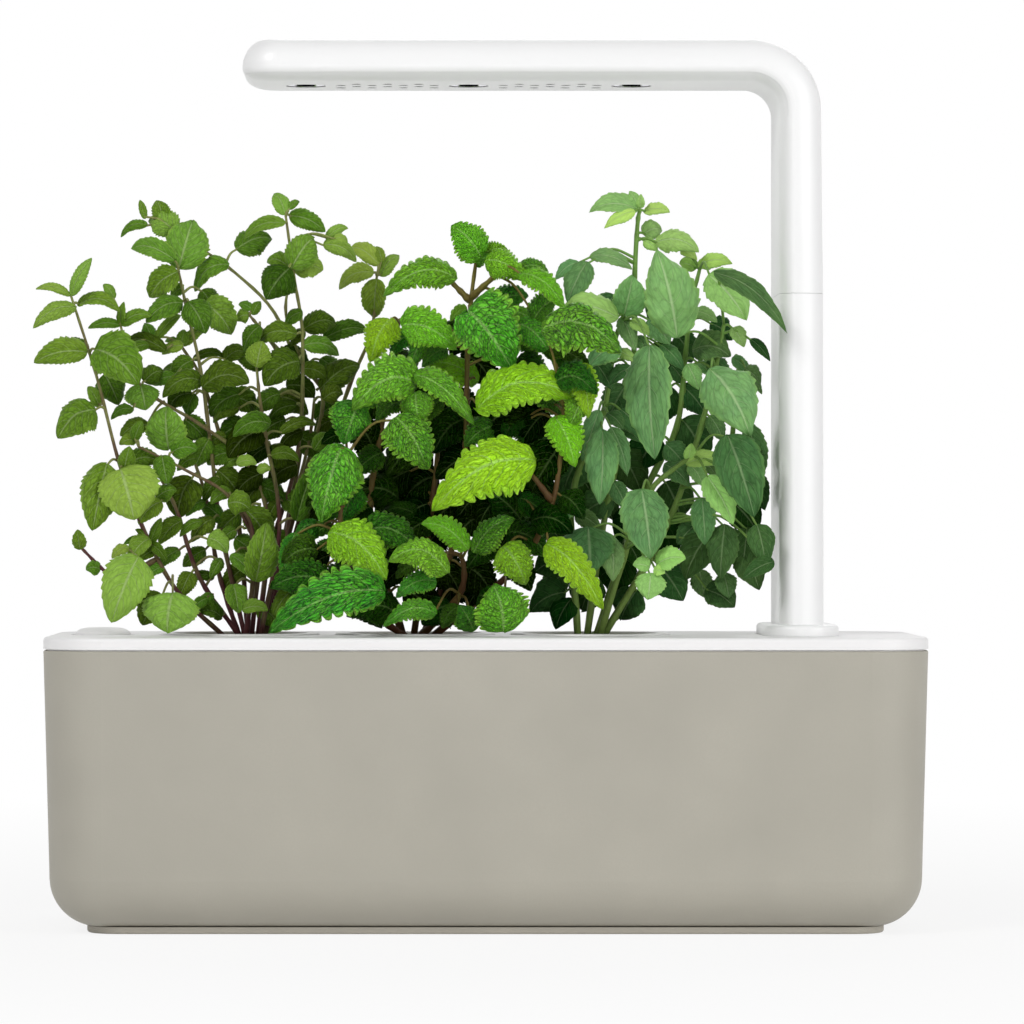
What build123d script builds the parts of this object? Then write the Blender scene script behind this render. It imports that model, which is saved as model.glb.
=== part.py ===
"""Countertop hydroponic garden: water tank, tray, three planted cups and a grow lamp on a post.

Millimetres. The origin is the centre of the tank's footprint on the table, +X runs
towards the lamp's post, +Y to the back and +Z up. The front faces -Y.
"""
import os

from build123d import *

os.makedirs("parts", exist_ok=True)

# Water tank and the plate it stands on
TANK_WIDTH = 305.0
TANK_DEPTH = 125.0
TANK_CORNER = 21.0
TANK_UNDERSIDE = 2.4
TANK_RIM = 97.5
TANK_DRAFT = 1.55
TANK_EDGE = 17.0
TANK_WALL = 2.0
TANK_FLOOR = 2.2
BASE_WIDTH = 275.4
BASE_DEPTH = 95.4
BASE_CORNER = 12.0
BASE_RIM_WIDTH = 11.0
BASE_RECESS = 0.8
BASE_ROUND = 1.0
SEAM = 0.4

# Tray
TRAY_TOP = 102.1
TRAY_SHEET = 2.0
TRAY_ROUND = 1.3
SKIRT_GAP = 0.5
SKIRT_WALL = 1.6
SKIRT_DEPTH = 6.0
REVEAL_HEIGHT = 0.5
REVEAL_DEPTH = 1.4

# Float gauge
FLOAT_X = -134.2
FLOAT_RADIUS = 9.9
FLOAT_HOLE_RADIUS = 11.4
FLOAT_DOME_TOP = 104.6
FLOAT_DOME_EDGE_WIDTH = 5.5
FLOAT_STEM_RADIUS = 3.0
FLOAT_STEM_FOOT = 58.0
BUOY_RADIUS = 10.0
BUOY_HEIGHT = 22.0
BUOY_ROUND = 2.0
GUIDE_WALL = 1.5
GUIDE_FOOT = 64.0

# Cups, pods and wicks
CUP_X = (-86.0, -24.35, 37.3)
CUP_FLANGE_RADIUS = 28.0
CUP_FLANGE = 1.5
CUP_SEAT_DEPTH = 0.9
CUP_MOUTH_RADIUS = 25.3
CUP_FOOT_RADIUS = 21.4
CUP_FOOT = 44.5
CUP_WALL = 1.6
CUP_BORE_GAP = 0.4
LEG_RADIUS = 6.4
LEG_BORE_RADIUS = 5.0
LEG_FOOT = 10.0
BASKET_GAP = 0.35
BASKET_WALL = 1.0
SOIL_TOP = 101.0
SOIL_EDGE_DROP = 1.5
SOIL_EDGE_WIDTH = 4.0
WICK_RADIUS = 4.2

# Post: the lower length stands on the base, the upper length belongs to the lamp
POST_X = 110.2
POST_INNER_X = 102.4
ARM_FOOT = 106.0
POST_SEAM = 221.2
SEAM_GAP = 0.1
FOOT_THICKNESS = 15.6
SEAM_THICKNESS = 15.4

# Lamp section: flat underside, elliptical edges, measured from the underside up
HEAD_THICKNESS = 14.7
HEAD_UNDERSIDE = 295.2
HEAD_END = -84.6
HEAD_CORNER = 12.5
LAMP_HALF_DEPTH = 29.0
UNDERSIDE_FLAT = 41.0
LOWER_ARC_WIDTH = 8.5
LOWER_ARC_HEIGHT = 5.0
UPPER_ARC_WIDTH = 8.0
ELBOW_INNER_RADIUS = 10.0
SHELL_WALL = 2.0
COVER_HEIGHT = 2.7
COVER_GAP = 0.06
COVER_END_Z = 282.5

# Light source
LED_X = (-62.7, -5.45, 51.8)
LED_WINDOW_RADIUS = 7.1
LED_RADIUS = 3.3
VENT_GROUP_X = (-34.0, 23.2)
VENT_PITCH = 10.95
VENT_ROW = 5.3
VENT_RADIUS = 1.75
BOARD_UNDERSIDE = 300.0
BOARD_THICKNESS = 1.6
SPREADER_THICKNESS = 1.5

# Lamp base: dry housing under the tray, with a plinth that carries the post
BASE_X = 111.0
HOUSING_WIDTH = 44.8
HOUSING_FRONT = -38.0
HOUSING_BACK = 58.2
HOUSING_FOOT = 70.0
HOUSING_WALL = 2.0
HOUSING_CORNER = 4.0
COVER_PLATE = 2.0
PLINTH_WIDTH = 26.0
PLINTH_DEPTH = 68.0
PLINTH_GAP = 0.4
PLINTH_ROUND = 1.6
PORT_WIDTH = 46.0
PORT_FLOOR = 77.5
PANEL_GAP = 0.4
PANEL_FACE = 62.0
PORT_Z = 86.5
JACK_X = 121.0
BUTTON_X = 102.5

# Plug and socket that join the post's lengths
TONGUE_WIDTH = 10.0
TONGUE_DEPTH = 46.0
TONGUE_CORNER = 3.5
TONGUE_GAP = 0.3
TONGUE_LENGTH = 18.0
LAMP_TONGUE_LENGTH = 14.7
CONTACT_Y = (-12.0, 0.0, 12.0)
CONTACT_RADIUS = 0.8
CONTACT_GAP = 0.15
CONTACT_DEPTH = 10.0
WIRE_RADIUS = 0.9


def tapered_block(width, depth, corner, foot, edge):
    """Block that narrows from the tank's rim down to a rounded edge at the height foot."""
    with BuildPart() as block:
        with BuildSketch(Plane.XY.offset(TANK_RIM)):
            RectangleRounded(width, depth, corner)
        extrude(amount=foot - TANK_RIM, taper=TANK_DRAFT)
        fillet(block.faces().sort_by(Axis.Z)[0].edges(), edge)
    return block.part


def ring_sketch(width, depth, corner, wall):
    """Flat ring of even width with rounded corners."""
    with BuildSketch() as ring:
        RectangleRounded(width, depth, corner)
        RectangleRounded(width - 2 * wall, depth - 2 * wall, corner - wall, mode=Mode.SUBTRACT)
    return ring.sketch


# ---------------------------------------------------------------- tank and base plate

with BuildPart() as water_tank:
    add(tapered_block(TANK_WIDTH, TANK_DEPTH, TANK_CORNER, TANK_UNDERSIDE, TANK_EDGE))
    chamfer(water_tank.faces().sort_by(Axis.Z)[-1].edges(), SEAM)
    add(
        tapered_block(
            TANK_WIDTH - 2 * TANK_WALL,
            TANK_DEPTH - 2 * TANK_WALL,
            TANK_CORNER - TANK_WALL,
            TANK_UNDERSIDE + TANK_FLOOR,
            TANK_EDGE - TANK_WALL,
        ),
        mode=Mode.SUBTRACT,
    )
    with BuildSketch(Plane.XY.offset(PORT_FLOOR)):
        with Locations((BASE_X, TANK_DEPTH / 2)):
            Rectangle(PORT_WIDTH, 4 * TANK_WALL)
    extrude(amount=TANK_RIM - PORT_FLOOR, mode=Mode.SUBTRACT)
water_tank.part.label = "water_tank"
export_step(water_tank.part, "parts/water_tank.step")

with BuildPart() as base_plate:
    with BuildSketch():
        RectangleRounded(BASE_WIDTH, BASE_DEPTH, BASE_CORNER)
    extrude(amount=TANK_UNDERSIDE)
    fillet(base_plate.faces().sort_by(Axis.Z)[0].edges(), BASE_ROUND)
    with BuildSketch():
        RectangleRounded(
            BASE_WIDTH - 2 * BASE_RIM_WIDTH, BASE_DEPTH - 2 * BASE_RIM_WIDTH, BASE_CORNER / 2
        )
    extrude(amount=BASE_RECESS, mode=Mode.SUBTRACT)
base_plate.part.label = "base_plate"
export_step(base_plate.part, "parts/base_plate.step")


# ---------------------------------------------------------------- tray

SKIRT_INSET = TANK_WALL + SKIRT_GAP
POCKET_INSET = SKIRT_INSET + SKIRT_WALL

with BuildPart() as top_tray:
    with BuildSketch(Plane.XY.offset(TANK_RIM)):
        RectangleRounded(TANK_WIDTH, TANK_DEPTH, TANK_CORNER)
    extrude(amount=TRAY_TOP - TANK_RIM)
    fillet(top_tray.faces().sort_by(Axis.Z)[-1].edges(), TRAY_ROUND)
    # Shadow line above the tank's rim
    with BuildSketch(Plane.XY.offset(TANK_RIM)):
        add(ring_sketch(TANK_WIDTH, TANK_DEPTH, TANK_CORNER, REVEAL_DEPTH))
    extrude(amount=REVEAL_HEIGHT, mode=Mode.SUBTRACT)
    with BuildSketch(Plane.XY.offset(TANK_RIM)):
        RectangleRounded(
            TANK_WIDTH - 2 * POCKET_INSET, TANK_DEPTH - 2 * POCKET_INSET, TANK_CORNER - POCKET_INSET
        )
    extrude(amount=TRAY_TOP - TRAY_SHEET - TANK_RIM, mode=Mode.SUBTRACT)
    with BuildSketch(Plane.XY.offset(TANK_RIM - SKIRT_DEPTH)):
        add(
            ring_sketch(
                TANK_WIDTH - 2 * SKIRT_INSET,
                TANK_DEPTH - 2 * SKIRT_INSET,
                TANK_CORNER - SKIRT_INSET,
                SKIRT_WALL,
            )
        )
    extrude(amount=SKIRT_DEPTH)
    # Guide tube of the float
    with BuildSketch(Plane.XY.offset(GUIDE_FOOT)):
        with Locations((FLOAT_X, 0)):
            Circle(FLOAT_HOLE_RADIUS + GUIDE_WALL)
    extrude(amount=TRAY_TOP - TRAY_SHEET - GUIDE_FOOT)
    with BuildSketch(Plane.XY.offset(GUIDE_FOOT)):
        with Locations((FLOAT_X, 0)):
            Circle(FLOAT_HOLE_RADIUS)
    extrude(amount=TRAY_TOP - GUIDE_FOOT, mode=Mode.SUBTRACT)
    # Seats of the three cups
    with Locations([Location((x, 0, TRAY_TOP)) for x in CUP_X]):
        CounterBoreHole(
            radius=CUP_MOUTH_RADIUS + CUP_BORE_GAP,
            counter_bore_radius=CUP_FLANGE_RADIUS + CUP_BORE_GAP,
            counter_bore_depth=CUP_SEAT_DEPTH,
            depth=TRAY_TOP - TANK_RIM,
        )
    # Opening for the plinth, and the gap in the skirt for the port panel
    with BuildSketch(Plane.XY.offset(TANK_RIM)):
        with Locations((POST_X, 0)):
            RectangleRounded(
                PLINTH_WIDTH + 2 * PLINTH_GAP, PLINTH_DEPTH + 2 * PLINTH_GAP, PLINTH_WIDTH / 2
            )
    extrude(amount=TRAY_TOP - TANK_RIM, mode=Mode.SUBTRACT)
    with BuildSketch(Plane.XY.offset(TANK_RIM - SKIRT_DEPTH)):
        with Locations((BASE_X, TANK_DEPTH / 2)):
            Rectangle(PORT_WIDTH, 3 * POCKET_INSET)
    extrude(amount=SKIRT_DEPTH, mode=Mode.SUBTRACT)
top_tray.part.label = "top_tray"
export_step(top_tray.part, "parts/top_tray.step")


# ---------------------------------------------------------------- float gauge

DOME_EDGE = TRAY_TOP - 0.1
HEAD_FOOT = DOME_EDGE - 2.4
DOME_RISE = FLOAT_DOME_TOP - DOME_EDGE
DOME_FLAT = FLOAT_RADIUS - FLOAT_DOME_EDGE_WIDTH

with BuildPart() as float_indicator:
    with BuildSketch(Plane.XZ.shift_origin((FLOAT_X, 0, 0))):
        with BuildLine():
            Polyline(
                (0, FLOAT_STEM_FOOT),
                (FLOAT_STEM_RADIUS, FLOAT_STEM_FOOT),
                (FLOAT_STEM_RADIUS, HEAD_FOOT),
                (FLOAT_RADIUS, HEAD_FOOT),
                (FLOAT_RADIUS, DOME_EDGE),
            )
            EllipticalCenterArc(
                (DOME_FLAT, DOME_EDGE), FLOAT_DOME_EDGE_WIDTH, DOME_RISE, 0, arc_size=90
            )
            Polyline((DOME_FLAT, FLOAT_DOME_TOP), (0, FLOAT_DOME_TOP), (0, FLOAT_STEM_FOOT))
        make_face()
    revolve(axis=Axis((FLOAT_X, 0, 0), (0, 0, 1)))
float_indicator.part.label = "float_indicator"
export_step(float_indicator.part, "parts/float_indicator.step")

with BuildPart() as float_buoy:
    with BuildSketch(Plane.XY.offset(FLOAT_STEM_FOOT)):
        with Locations((FLOAT_X, 0)):
            Circle(BUOY_RADIUS)
    extrude(amount=-BUOY_HEIGHT)
    fillet(float_buoy.edges().filter_by(GeomType.CIRCLE), BUOY_ROUND)
float_buoy.part.label = "float_buoy"
export_step(float_buoy.part, "parts/float_buoy.step")


# ---------------------------------------------------------------- cups, pods and wicks

CUP_TOP = TRAY_TOP - CUP_SEAT_DEPTH + CUP_FLANGE
CUP_FLOOR = CUP_FOOT + CUP_WALL
BASKET_FLOOR = CUP_FLOOR + BASKET_WALL


def revolved_about(x, points):
    """Body of revolution about the upright axis at x, from (radius, height) points."""
    with BuildPart() as body:
        with BuildSketch(Plane.XZ.shift_origin((x, 0, 0))):
            with BuildLine():
                Polyline(*points, close=True)
            make_face()
        revolve(axis=Axis((x, 0, 0), (0, 0, 1)))
    return body.part


for number, cup_x in enumerate(CUP_X, 1):
    seat = TRAY_TOP - CUP_SEAT_DEPTH
    with BuildPart() as plant_cup:
        add(
            revolved_about(
                cup_x,
                [
                    (CUP_FLANGE_RADIUS, seat),
                    (CUP_FLANGE_RADIUS, CUP_TOP),
                    (CUP_MOUTH_RADIUS - CUP_WALL, CUP_TOP),
                    (CUP_FOOT_RADIUS - CUP_WALL, CUP_FLOOR),
                    (LEG_BORE_RADIUS, CUP_FLOOR),
                    (LEG_BORE_RADIUS, LEG_FOOT),
                    (LEG_RADIUS, LEG_FOOT),
                    (LEG_RADIUS, CUP_FOOT),
                    (CUP_FOOT_RADIUS, CUP_FOOT),
                    (CUP_MOUTH_RADIUS, seat),
                ],
            )
        )
        rim = plant_cup.edges().filter_by(GeomType.CIRCLE).group_by(Axis.Z)[-1]
        fillet(rim.sort_by(SortBy.RADIUS)[-1], CUP_SEAT_DEPTH / 2)
        # Slots that let the water reach the wick
        with BuildSketch(Plane.XY.offset(LEG_FOOT)):
            with Locations((cup_x, 0)):
                Rectangle(3 * LEG_RADIUS, LEG_RADIUS / 2)
        extrude(amount=2 * LEG_RADIUS, mode=Mode.SUBTRACT)
    plant_cup.part.label = f"plant_cup_{number}"
    export_step(plant_cup.part, f"parts/plant_cup_{number}.step")

    basket_mouth = CUP_MOUTH_RADIUS - CUP_WALL - BASKET_GAP
    basket_foot = CUP_FOOT_RADIUS - CUP_WALL - BASKET_GAP
    basket_rim = CUP_TOP - BASKET_GAP
    with BuildPart() as pod_basket:
        add(
            revolved_about(
                cup_x,
                [
                    (basket_mouth, basket_rim),
                    (basket_mouth - BASKET_WALL, basket_rim),
                    (basket_foot - BASKET_WALL, BASKET_FLOOR),
                    (LEG_BORE_RADIUS, BASKET_FLOOR),
                    (LEG_BORE_RADIUS, CUP_FLOOR),
                    (basket_foot, CUP_FLOOR),
                ],
            )
        )
    pod_basket.part.label = f"pod_basket_{number}"
    export_step(pod_basket.part, f"parts/pod_basket_{number}.step")

    soil_mouth = basket_mouth - BASKET_WALL - BASKET_GAP
    soil_foot = basket_foot - BASKET_WALL - BASKET_GAP
    with BuildPart() as soil_plug:
        add(
            revolved_about(
                cup_x,
                [
                    (0, BASKET_FLOOR),
                    (soil_foot, BASKET_FLOOR),
                    (soil_mouth, SOIL_TOP - SOIL_EDGE_DROP),
                    (soil_mouth - SOIL_EDGE_WIDTH, SOIL_TOP),
                    (0, SOIL_TOP),
                ],
            )
        )
    soil_plug.part.label = f"soil_plug_{number}"
    export_step(soil_plug.part, f"parts/soil_plug_{number}.step")

    with BuildPart() as wick:
        with BuildSketch(Plane.XY.offset(LEG_FOOT)):
            with Locations((cup_x, 0)):
                Circle(WICK_RADIUS)
        extrude(amount=BASKET_FLOOR - LEG_FOOT)
    wick.part.label = f"wick_{number}"
    export_step(wick.part, f"parts/wick_{number}.step")


# ---------------------------------------------------------------- lamp base

HOUSING_DEPTH = HOUSING_BACK - HOUSING_FRONT
HOUSING_Y = (HOUSING_BACK + HOUSING_FRONT) / 2
TRAY_POCKET = TRAY_TOP - TRAY_SHEET
SOCKET_FLOOR = ARM_FOOT - TONGUE_LENGTH - 1.0
SOCKET_WALL = 2.0
BOSS_RADIUS = 3.2
BOSS_INSET = 4.4
BOSS_SPOTS = [
    (BASE_X + x, y)
    for x in (-HOUSING_WIDTH / 2 + BOSS_INSET, HOUSING_WIDTH / 2 - BOSS_INSET)
    for y in (HOUSING_FRONT + BOSS_INSET, HOUSING_BACK - BOSS_INSET)
]
SCREW_RADIUS = 1.2
SCREW_HEAD_RADIUS = 2.8
SCREW_HEAD = 1.6
SCREW_LENGTH = 10.0
BUTTON_RADIUS = 4.3
BUTTON_GAP = 0.25
JACK_NOSE_RADIUS = 4.2
JACK_BORE_RADIUS = 2.75
PANEL_WIDTH = PORT_WIDTH - 2 * PANEL_GAP

with BuildPart() as lamp_base:
    with BuildSketch(Plane.XY.offset(HOUSING_FOOT)):
        with Locations((BASE_X, HOUSING_Y)):
            RectangleRounded(HOUSING_WIDTH, HOUSING_DEPTH, HOUSING_CORNER)
    extrude(amount=TRAY_POCKET - HOUSING_FOOT)
    with BuildSketch(Plane.XY.offset(HOUSING_FOOT)):
        with Locations((BASE_X, HOUSING_Y)):
            RectangleRounded(
                HOUSING_WIDTH - 2 * HOUSING_WALL, HOUSING_DEPTH - 2 * HOUSING_WALL, HOUSING_CORNER / 2
            )
    extrude(amount=TRAY_POCKET - HOUSING_WALL - HOUSING_FOOT, mode=Mode.SUBTRACT)
    # Port panel that closes the notch in the tank's back wall
    with BuildSketch(Plane.XY.offset(PORT_FLOOR + PANEL_GAP)):
        with Locations((BASE_X, (HOUSING_BACK - HOUSING_WALL + PANEL_FACE) / 2)):
            Rectangle(PANEL_WIDTH, PANEL_FACE - HOUSING_BACK + HOUSING_WALL)
    extrude(amount=TANK_RIM - PORT_FLOOR - 2 * PANEL_GAP)
    # Plinth around the foot of the post
    with BuildSketch(Plane.XY.offset(TRAY_POCKET - HOUSING_WALL)):
        with Locations((POST_X, 0)):
            RectangleRounded(PLINTH_WIDTH, PLINTH_DEPTH, PLINTH_WIDTH / 2 - 0.1)
    extrude(amount=ARM_FOOT - TRAY_POCKET + HOUSING_WALL)
    fillet(lamp_base.faces().sort_by(Axis.Z)[-1].edges(), PLINTH_ROUND)
    # Socket for the post's tongue
    with BuildSketch(Plane.XY.offset(SOCKET_FLOOR - SOCKET_WALL)):
        with Locations((POST_X, 0)):
            RectangleRounded(
                TONGUE_WIDTH + 2 * TONGUE_GAP + 2 * SOCKET_WALL,
                TONGUE_DEPTH + 2 * TONGUE_GAP + 2 * SOCKET_WALL,
                TONGUE_CORNER + SOCKET_WALL,
            )
    extrude(amount=TRAY_POCKET - HOUSING_WALL - SOCKET_FLOOR + SOCKET_WALL)
    with BuildSketch(Plane.XY.offset(SOCKET_FLOOR)):
        with Locations((POST_X, 0)):
            RectangleRounded(
                TONGUE_WIDTH + 2 * TONGUE_GAP, TONGUE_DEPTH + 2 * TONGUE_GAP, TONGUE_CORNER
            )
    extrude(amount=ARM_FOOT - SOCKET_FLOOR, mode=Mode.SUBTRACT)
    with Locations([(POST_X, y, SOCKET_FLOOR) for y in CONTACT_Y]):
        Hole(radius=CONTACT_RADIUS + CONTACT_GAP, depth=SOCKET_WALL)
    # Screw bosses for the cover
    with BuildSketch(Plane.XY.offset(HOUSING_FOOT)):
        with Locations(BOSS_SPOTS):
            Circle(BOSS_RADIUS)
    extrude(amount=TRAY_POCKET - HOUSING_WALL - HOUSING_FOOT)
    with BuildSketch(Plane.XY.offset(HOUSING_FOOT)):
        with Locations(BOSS_SPOTS):
            Circle(SCREW_RADIUS + 0.05)
    extrude(amount=SCREW_LENGTH, mode=Mode.SUBTRACT)
    # Holes for the button and the inlet in the port panel
    with BuildSketch(Plane.XZ.offset(-PANEL_FACE)):
        with Locations((BUTTON_X, PORT_Z)):
            Circle(BUTTON_RADIUS + BUTTON_GAP)
        with Locations((JACK_X, PORT_Z)):
            Circle(JACK_NOSE_RADIUS + BUTTON_GAP)
    extrude(amount=PANEL_FACE - HOUSING_BACK + HOUSING_WALL, mode=Mode.SUBTRACT)
lamp_base.part.label = "lamp_base"
export_step(lamp_base.part, "parts/lamp_base.step")

BOARD_LEVEL = SOCKET_FLOOR - SOCKET_WALL - 4.5
POST_SPOTS = [(BASE_X + x, y) for x in (-11.0, 11.0) for y in (-24.0, 38.0)]

with BuildPart() as lamp_base_cover:
    with BuildSketch(Plane.XY.offset(HOUSING_FOOT - COVER_PLATE)):
        with Locations((BASE_X, HOUSING_Y)):
            RectangleRounded(HOUSING_WIDTH, HOUSING_DEPTH, HOUSING_CORNER)
        with Locations(BOSS_SPOTS):
            Circle(SCREW_RADIUS + 0.3, mode=Mode.SUBTRACT)
    extrude(amount=COVER_PLATE)
    with BuildSketch(Plane.XY.offset(HOUSING_FOOT)):
        with Locations(POST_SPOTS):
            Circle(BOSS_RADIUS)
    extrude(amount=BOARD_LEVEL - BOARD_THICKNESS - HOUSING_FOOT)
lamp_base_cover.part.label = "lamp_base_cover"
export_step(lamp_base_cover.part, "parts/lamp_base_cover.step")

with BuildPart() as base_screws:
    with BuildSketch(Plane.XY.offset(HOUSING_FOOT - COVER_PLATE - SCREW_HEAD)):
        with Locations(BOSS_SPOTS):
            Circle(SCREW_HEAD_RADIUS)
    extrude(amount=SCREW_HEAD)
    with BuildSketch(Plane.XY.offset(HOUSING_FOOT - COVER_PLATE)):
        with Locations(BOSS_SPOTS):
            Circle(SCREW_RADIUS)
    extrude(amount=COVER_PLATE + SCREW_LENGTH - 1.0)
base_screws.part.label = "base_screws"
export_step(base_screws.part, "parts/base_screws.step")

BOARD_FRONT = -30.0
BOARD_BACK = HOUSING_BACK - HOUSING_WALL - 0.6
BOARD_WIDTH = 29.0
CHIP_SIZES = ((7.0, 7.0, 1.2), (5.0, 4.0, 1.4), (4.0, 4.0, 2.6))
CHIP_SPOTS = ((BASE_X, -20.0), (BASE_X + 6.0, 30.0), (BASE_X - 9.0, 20.0))

with BuildPart() as controller_board:
    with BuildSketch(Plane.XY.offset(BOARD_LEVEL - BOARD_THICKNESS)):
        with Locations((BASE_X, (BOARD_FRONT + BOARD_BACK) / 2)):
            Rectangle(BOARD_WIDTH, BOARD_BACK - BOARD_FRONT)
    extrude(amount=BOARD_THICKNESS)
    for (chip_x, chip_y), (chip_width, chip_depth, chip_height) in zip(CHIP_SPOTS, CHIP_SIZES):
        with Locations((chip_x, chip_y, BOARD_LEVEL)):
            Box(
                chip_width,
                chip_depth,
                chip_height,
                align=(Align.CENTER, Align.CENTER, Align.MIN),
            )
controller_board.part.label = "controller_board"
export_step(controller_board.part, "parts/controller_board.step")

JACK_BODY_BACK = HOUSING_BACK - HOUSING_WALL - 0.2
JACK_BODY_DEPTH = 12.0
JACK_WIDTH = 9.0
JACK_NOSE_FACE = PANEL_FACE - 0.6
JACK_BORE_DEPTH = 9.5
JACK_PIN_RADIUS = 1.0

with BuildPart() as dc_jack:
    with Locations((JACK_X, JACK_BODY_BACK - JACK_BODY_DEPTH / 2, BOARD_LEVEL)):
        Box(
            JACK_WIDTH,
            JACK_BODY_DEPTH,
            2 * (PORT_Z - BOARD_LEVEL),
            align=(Align.CENTER, Align.CENTER, Align.MIN),
        )
    with BuildSketch(Plane.XZ.offset(-JACK_BODY_BACK)):
        with Locations((JACK_X, PORT_Z)):
            Circle(JACK_NOSE_RADIUS)
    extrude(amount=JACK_BODY_BACK - JACK_NOSE_FACE)
    with BuildSketch(Plane.XZ.offset(-JACK_NOSE_FACE)):
        with Locations((JACK_X, PORT_Z)):
            Circle(JACK_BORE_RADIUS)
            Circle(JACK_PIN_RADIUS, mode=Mode.SUBTRACT)
    extrude(amount=JACK_BORE_DEPTH, mode=Mode.SUBTRACT)
dc_jack.part.label = "dc_jack"
export_step(dc_jack.part, "parts/dc_jack.step")

BUTTON_TRAVEL = 1.1
BUTTON_FACE = PANEL_FACE + 1.0
BUTTON_FLANGE_BACK = HOUSING_BACK - HOUSING_WALL - 0.1
BUTTON_FLANGE = 1.6
SWITCH_SIZE = 6.0
SWITCH_BACK = 49.0
PLUNGER_RADIUS = 1.7
PLUNGER_TIP = BUTTON_FLANGE_BACK - BUTTON_FLANGE - BUTTON_TRAVEL - 0.15

with BuildPart() as tact_switch:
    with Locations((BUTTON_X, SWITCH_BACK, BOARD_LEVEL)):
        Box(
            SWITCH_SIZE,
            SWITCH_SIZE - 2.0,
            PORT_Z - BOARD_LEVEL + SWITCH_SIZE / 2,
            align=(Align.CENTER, Align.MAX, Align.MIN),
        )
    with BuildSketch(Plane.XZ.offset(-SWITCH_BACK)):
        with Locations((BUTTON_X, PORT_Z)):
            Circle(PLUNGER_RADIUS)
    extrude(amount=SWITCH_BACK - PLUNGER_TIP)
tact_switch.part.label = "tact_switch"
export_step(tact_switch.part, "parts/tact_switch.step")

with BuildPart() as power_button:
    with BuildSketch(Plane.XZ.offset(-BUTTON_FACE)):
        with Locations((BUTTON_X, PORT_Z)):
            Circle(BUTTON_RADIUS)
    extrude(amount=BUTTON_FACE - BUTTON_FLANGE_BACK)
    fillet(power_button.faces().sort_by(Axis.Y)[-1].edges(), 0.6)
    with BuildSketch(Plane.XZ.offset(-BUTTON_FLANGE_BACK)):
        with Locations((BUTTON_X, PORT_Z)):
            Circle(BUTTON_RADIUS + 1.3)
    extrude(amount=BUTTON_FLANGE)
power_button.part.label = "power_button"
export_step(power_button.part, "parts/power_button.step")

with BuildPart() as base_contacts:
    with BuildSketch(Plane.XY.offset(BOARD_LEVEL)):
        with Locations([(POST_X, y) for y in CONTACT_Y]):
            Circle(CONTACT_RADIUS)
    extrude(amount=SOCKET_FLOOR + 8.0 - BOARD_LEVEL)
base_contacts.part.label = "base_contacts"
export_step(base_contacts.part, "parts/base_contacts.step")


# ---------------------------------------------------------------- post and lamp section


def leg_plane(height):
    """Plane across the post: X to the back, Y from the inner face outwards, normal down."""
    return Plane(origin=(POST_INNER_X, 0, height), x_dir=(0, 1, 0), z_dir=(0, 0, -1))


def head_plane(x):
    """Plane across the head: X to the back, Y from the underside up, normal to +X."""
    return Plane(origin=(x, 0, HEAD_UNDERSIDE), x_dir=(0, 1, 0), z_dir=(1, 0, 0))


def lamp_section(plane, thickness, inset=0.0):
    """Closed section of the lamp, thinned on every side by inset."""
    flat = UNDERSIDE_FLAT / 2
    top = LAMP_HALF_DEPTH - UPPER_ARC_WIDTH
    low_x, low_y = LOWER_ARC_WIDTH - inset, LOWER_ARC_HEIGHT - inset
    high_x, high_y = UPPER_ARC_WIDTH - inset, thickness - LOWER_ARC_HEIGHT - inset
    with BuildSketch(plane) as section:
        with BuildLine():
            Line((-flat, inset), (flat, inset))
            EllipticalCenterArc((flat, LOWER_ARC_HEIGHT), low_x, low_y, -90, arc_size=90)
            EllipticalCenterArc((top, LOWER_ARC_HEIGHT), high_x, high_y, 0, arc_size=90)
            Line((top, thickness - inset), (-top, thickness - inset))
            EllipticalCenterArc((-top, LOWER_ARC_HEIGHT), high_x, high_y, 90, arc_size=90)
            EllipticalCenterArc((-flat, LOWER_ARC_HEIGHT), low_x, low_y, 180, arc_size=90)
        make_face()
    return section.sketch


def edge_section(plane, inset=0.0):
    """Edge of the head's section, with the head's corner axis as its own Y axis."""
    flat = HEAD_CORNER - LOWER_ARC_WIDTH
    top = HEAD_CORNER - UPPER_ARC_WIDTH
    low_x, low_y = LOWER_ARC_WIDTH - inset, LOWER_ARC_HEIGHT - inset
    high_x, high_y = UPPER_ARC_WIDTH - inset, HEAD_THICKNESS - LOWER_ARC_HEIGHT - inset
    with BuildSketch(plane) as edge:
        with BuildLine():
            Line((0, inset), (flat, inset))
            EllipticalCenterArc((flat, LOWER_ARC_HEIGHT), low_x, low_y, -90, arc_size=90)
            EllipticalCenterArc((top, LOWER_ARC_HEIGHT), high_x, high_y, 0, arc_size=90)
            Polyline((top, HEAD_THICKNESS - inset), (0, HEAD_THICKNESS - inset), (0, inset))
        make_face()
    return edge.sketch


HEAD_CORNER_X = HEAD_END + HEAD_CORNER
HEAD_CORNER_Y = LAMP_HALF_DEPTH - HEAD_CORNER
ELBOW_X = POST_INNER_X - ELBOW_INNER_RADIUS
ELBOW_Z = HEAD_UNDERSIDE - ELBOW_INNER_RADIUS


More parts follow.
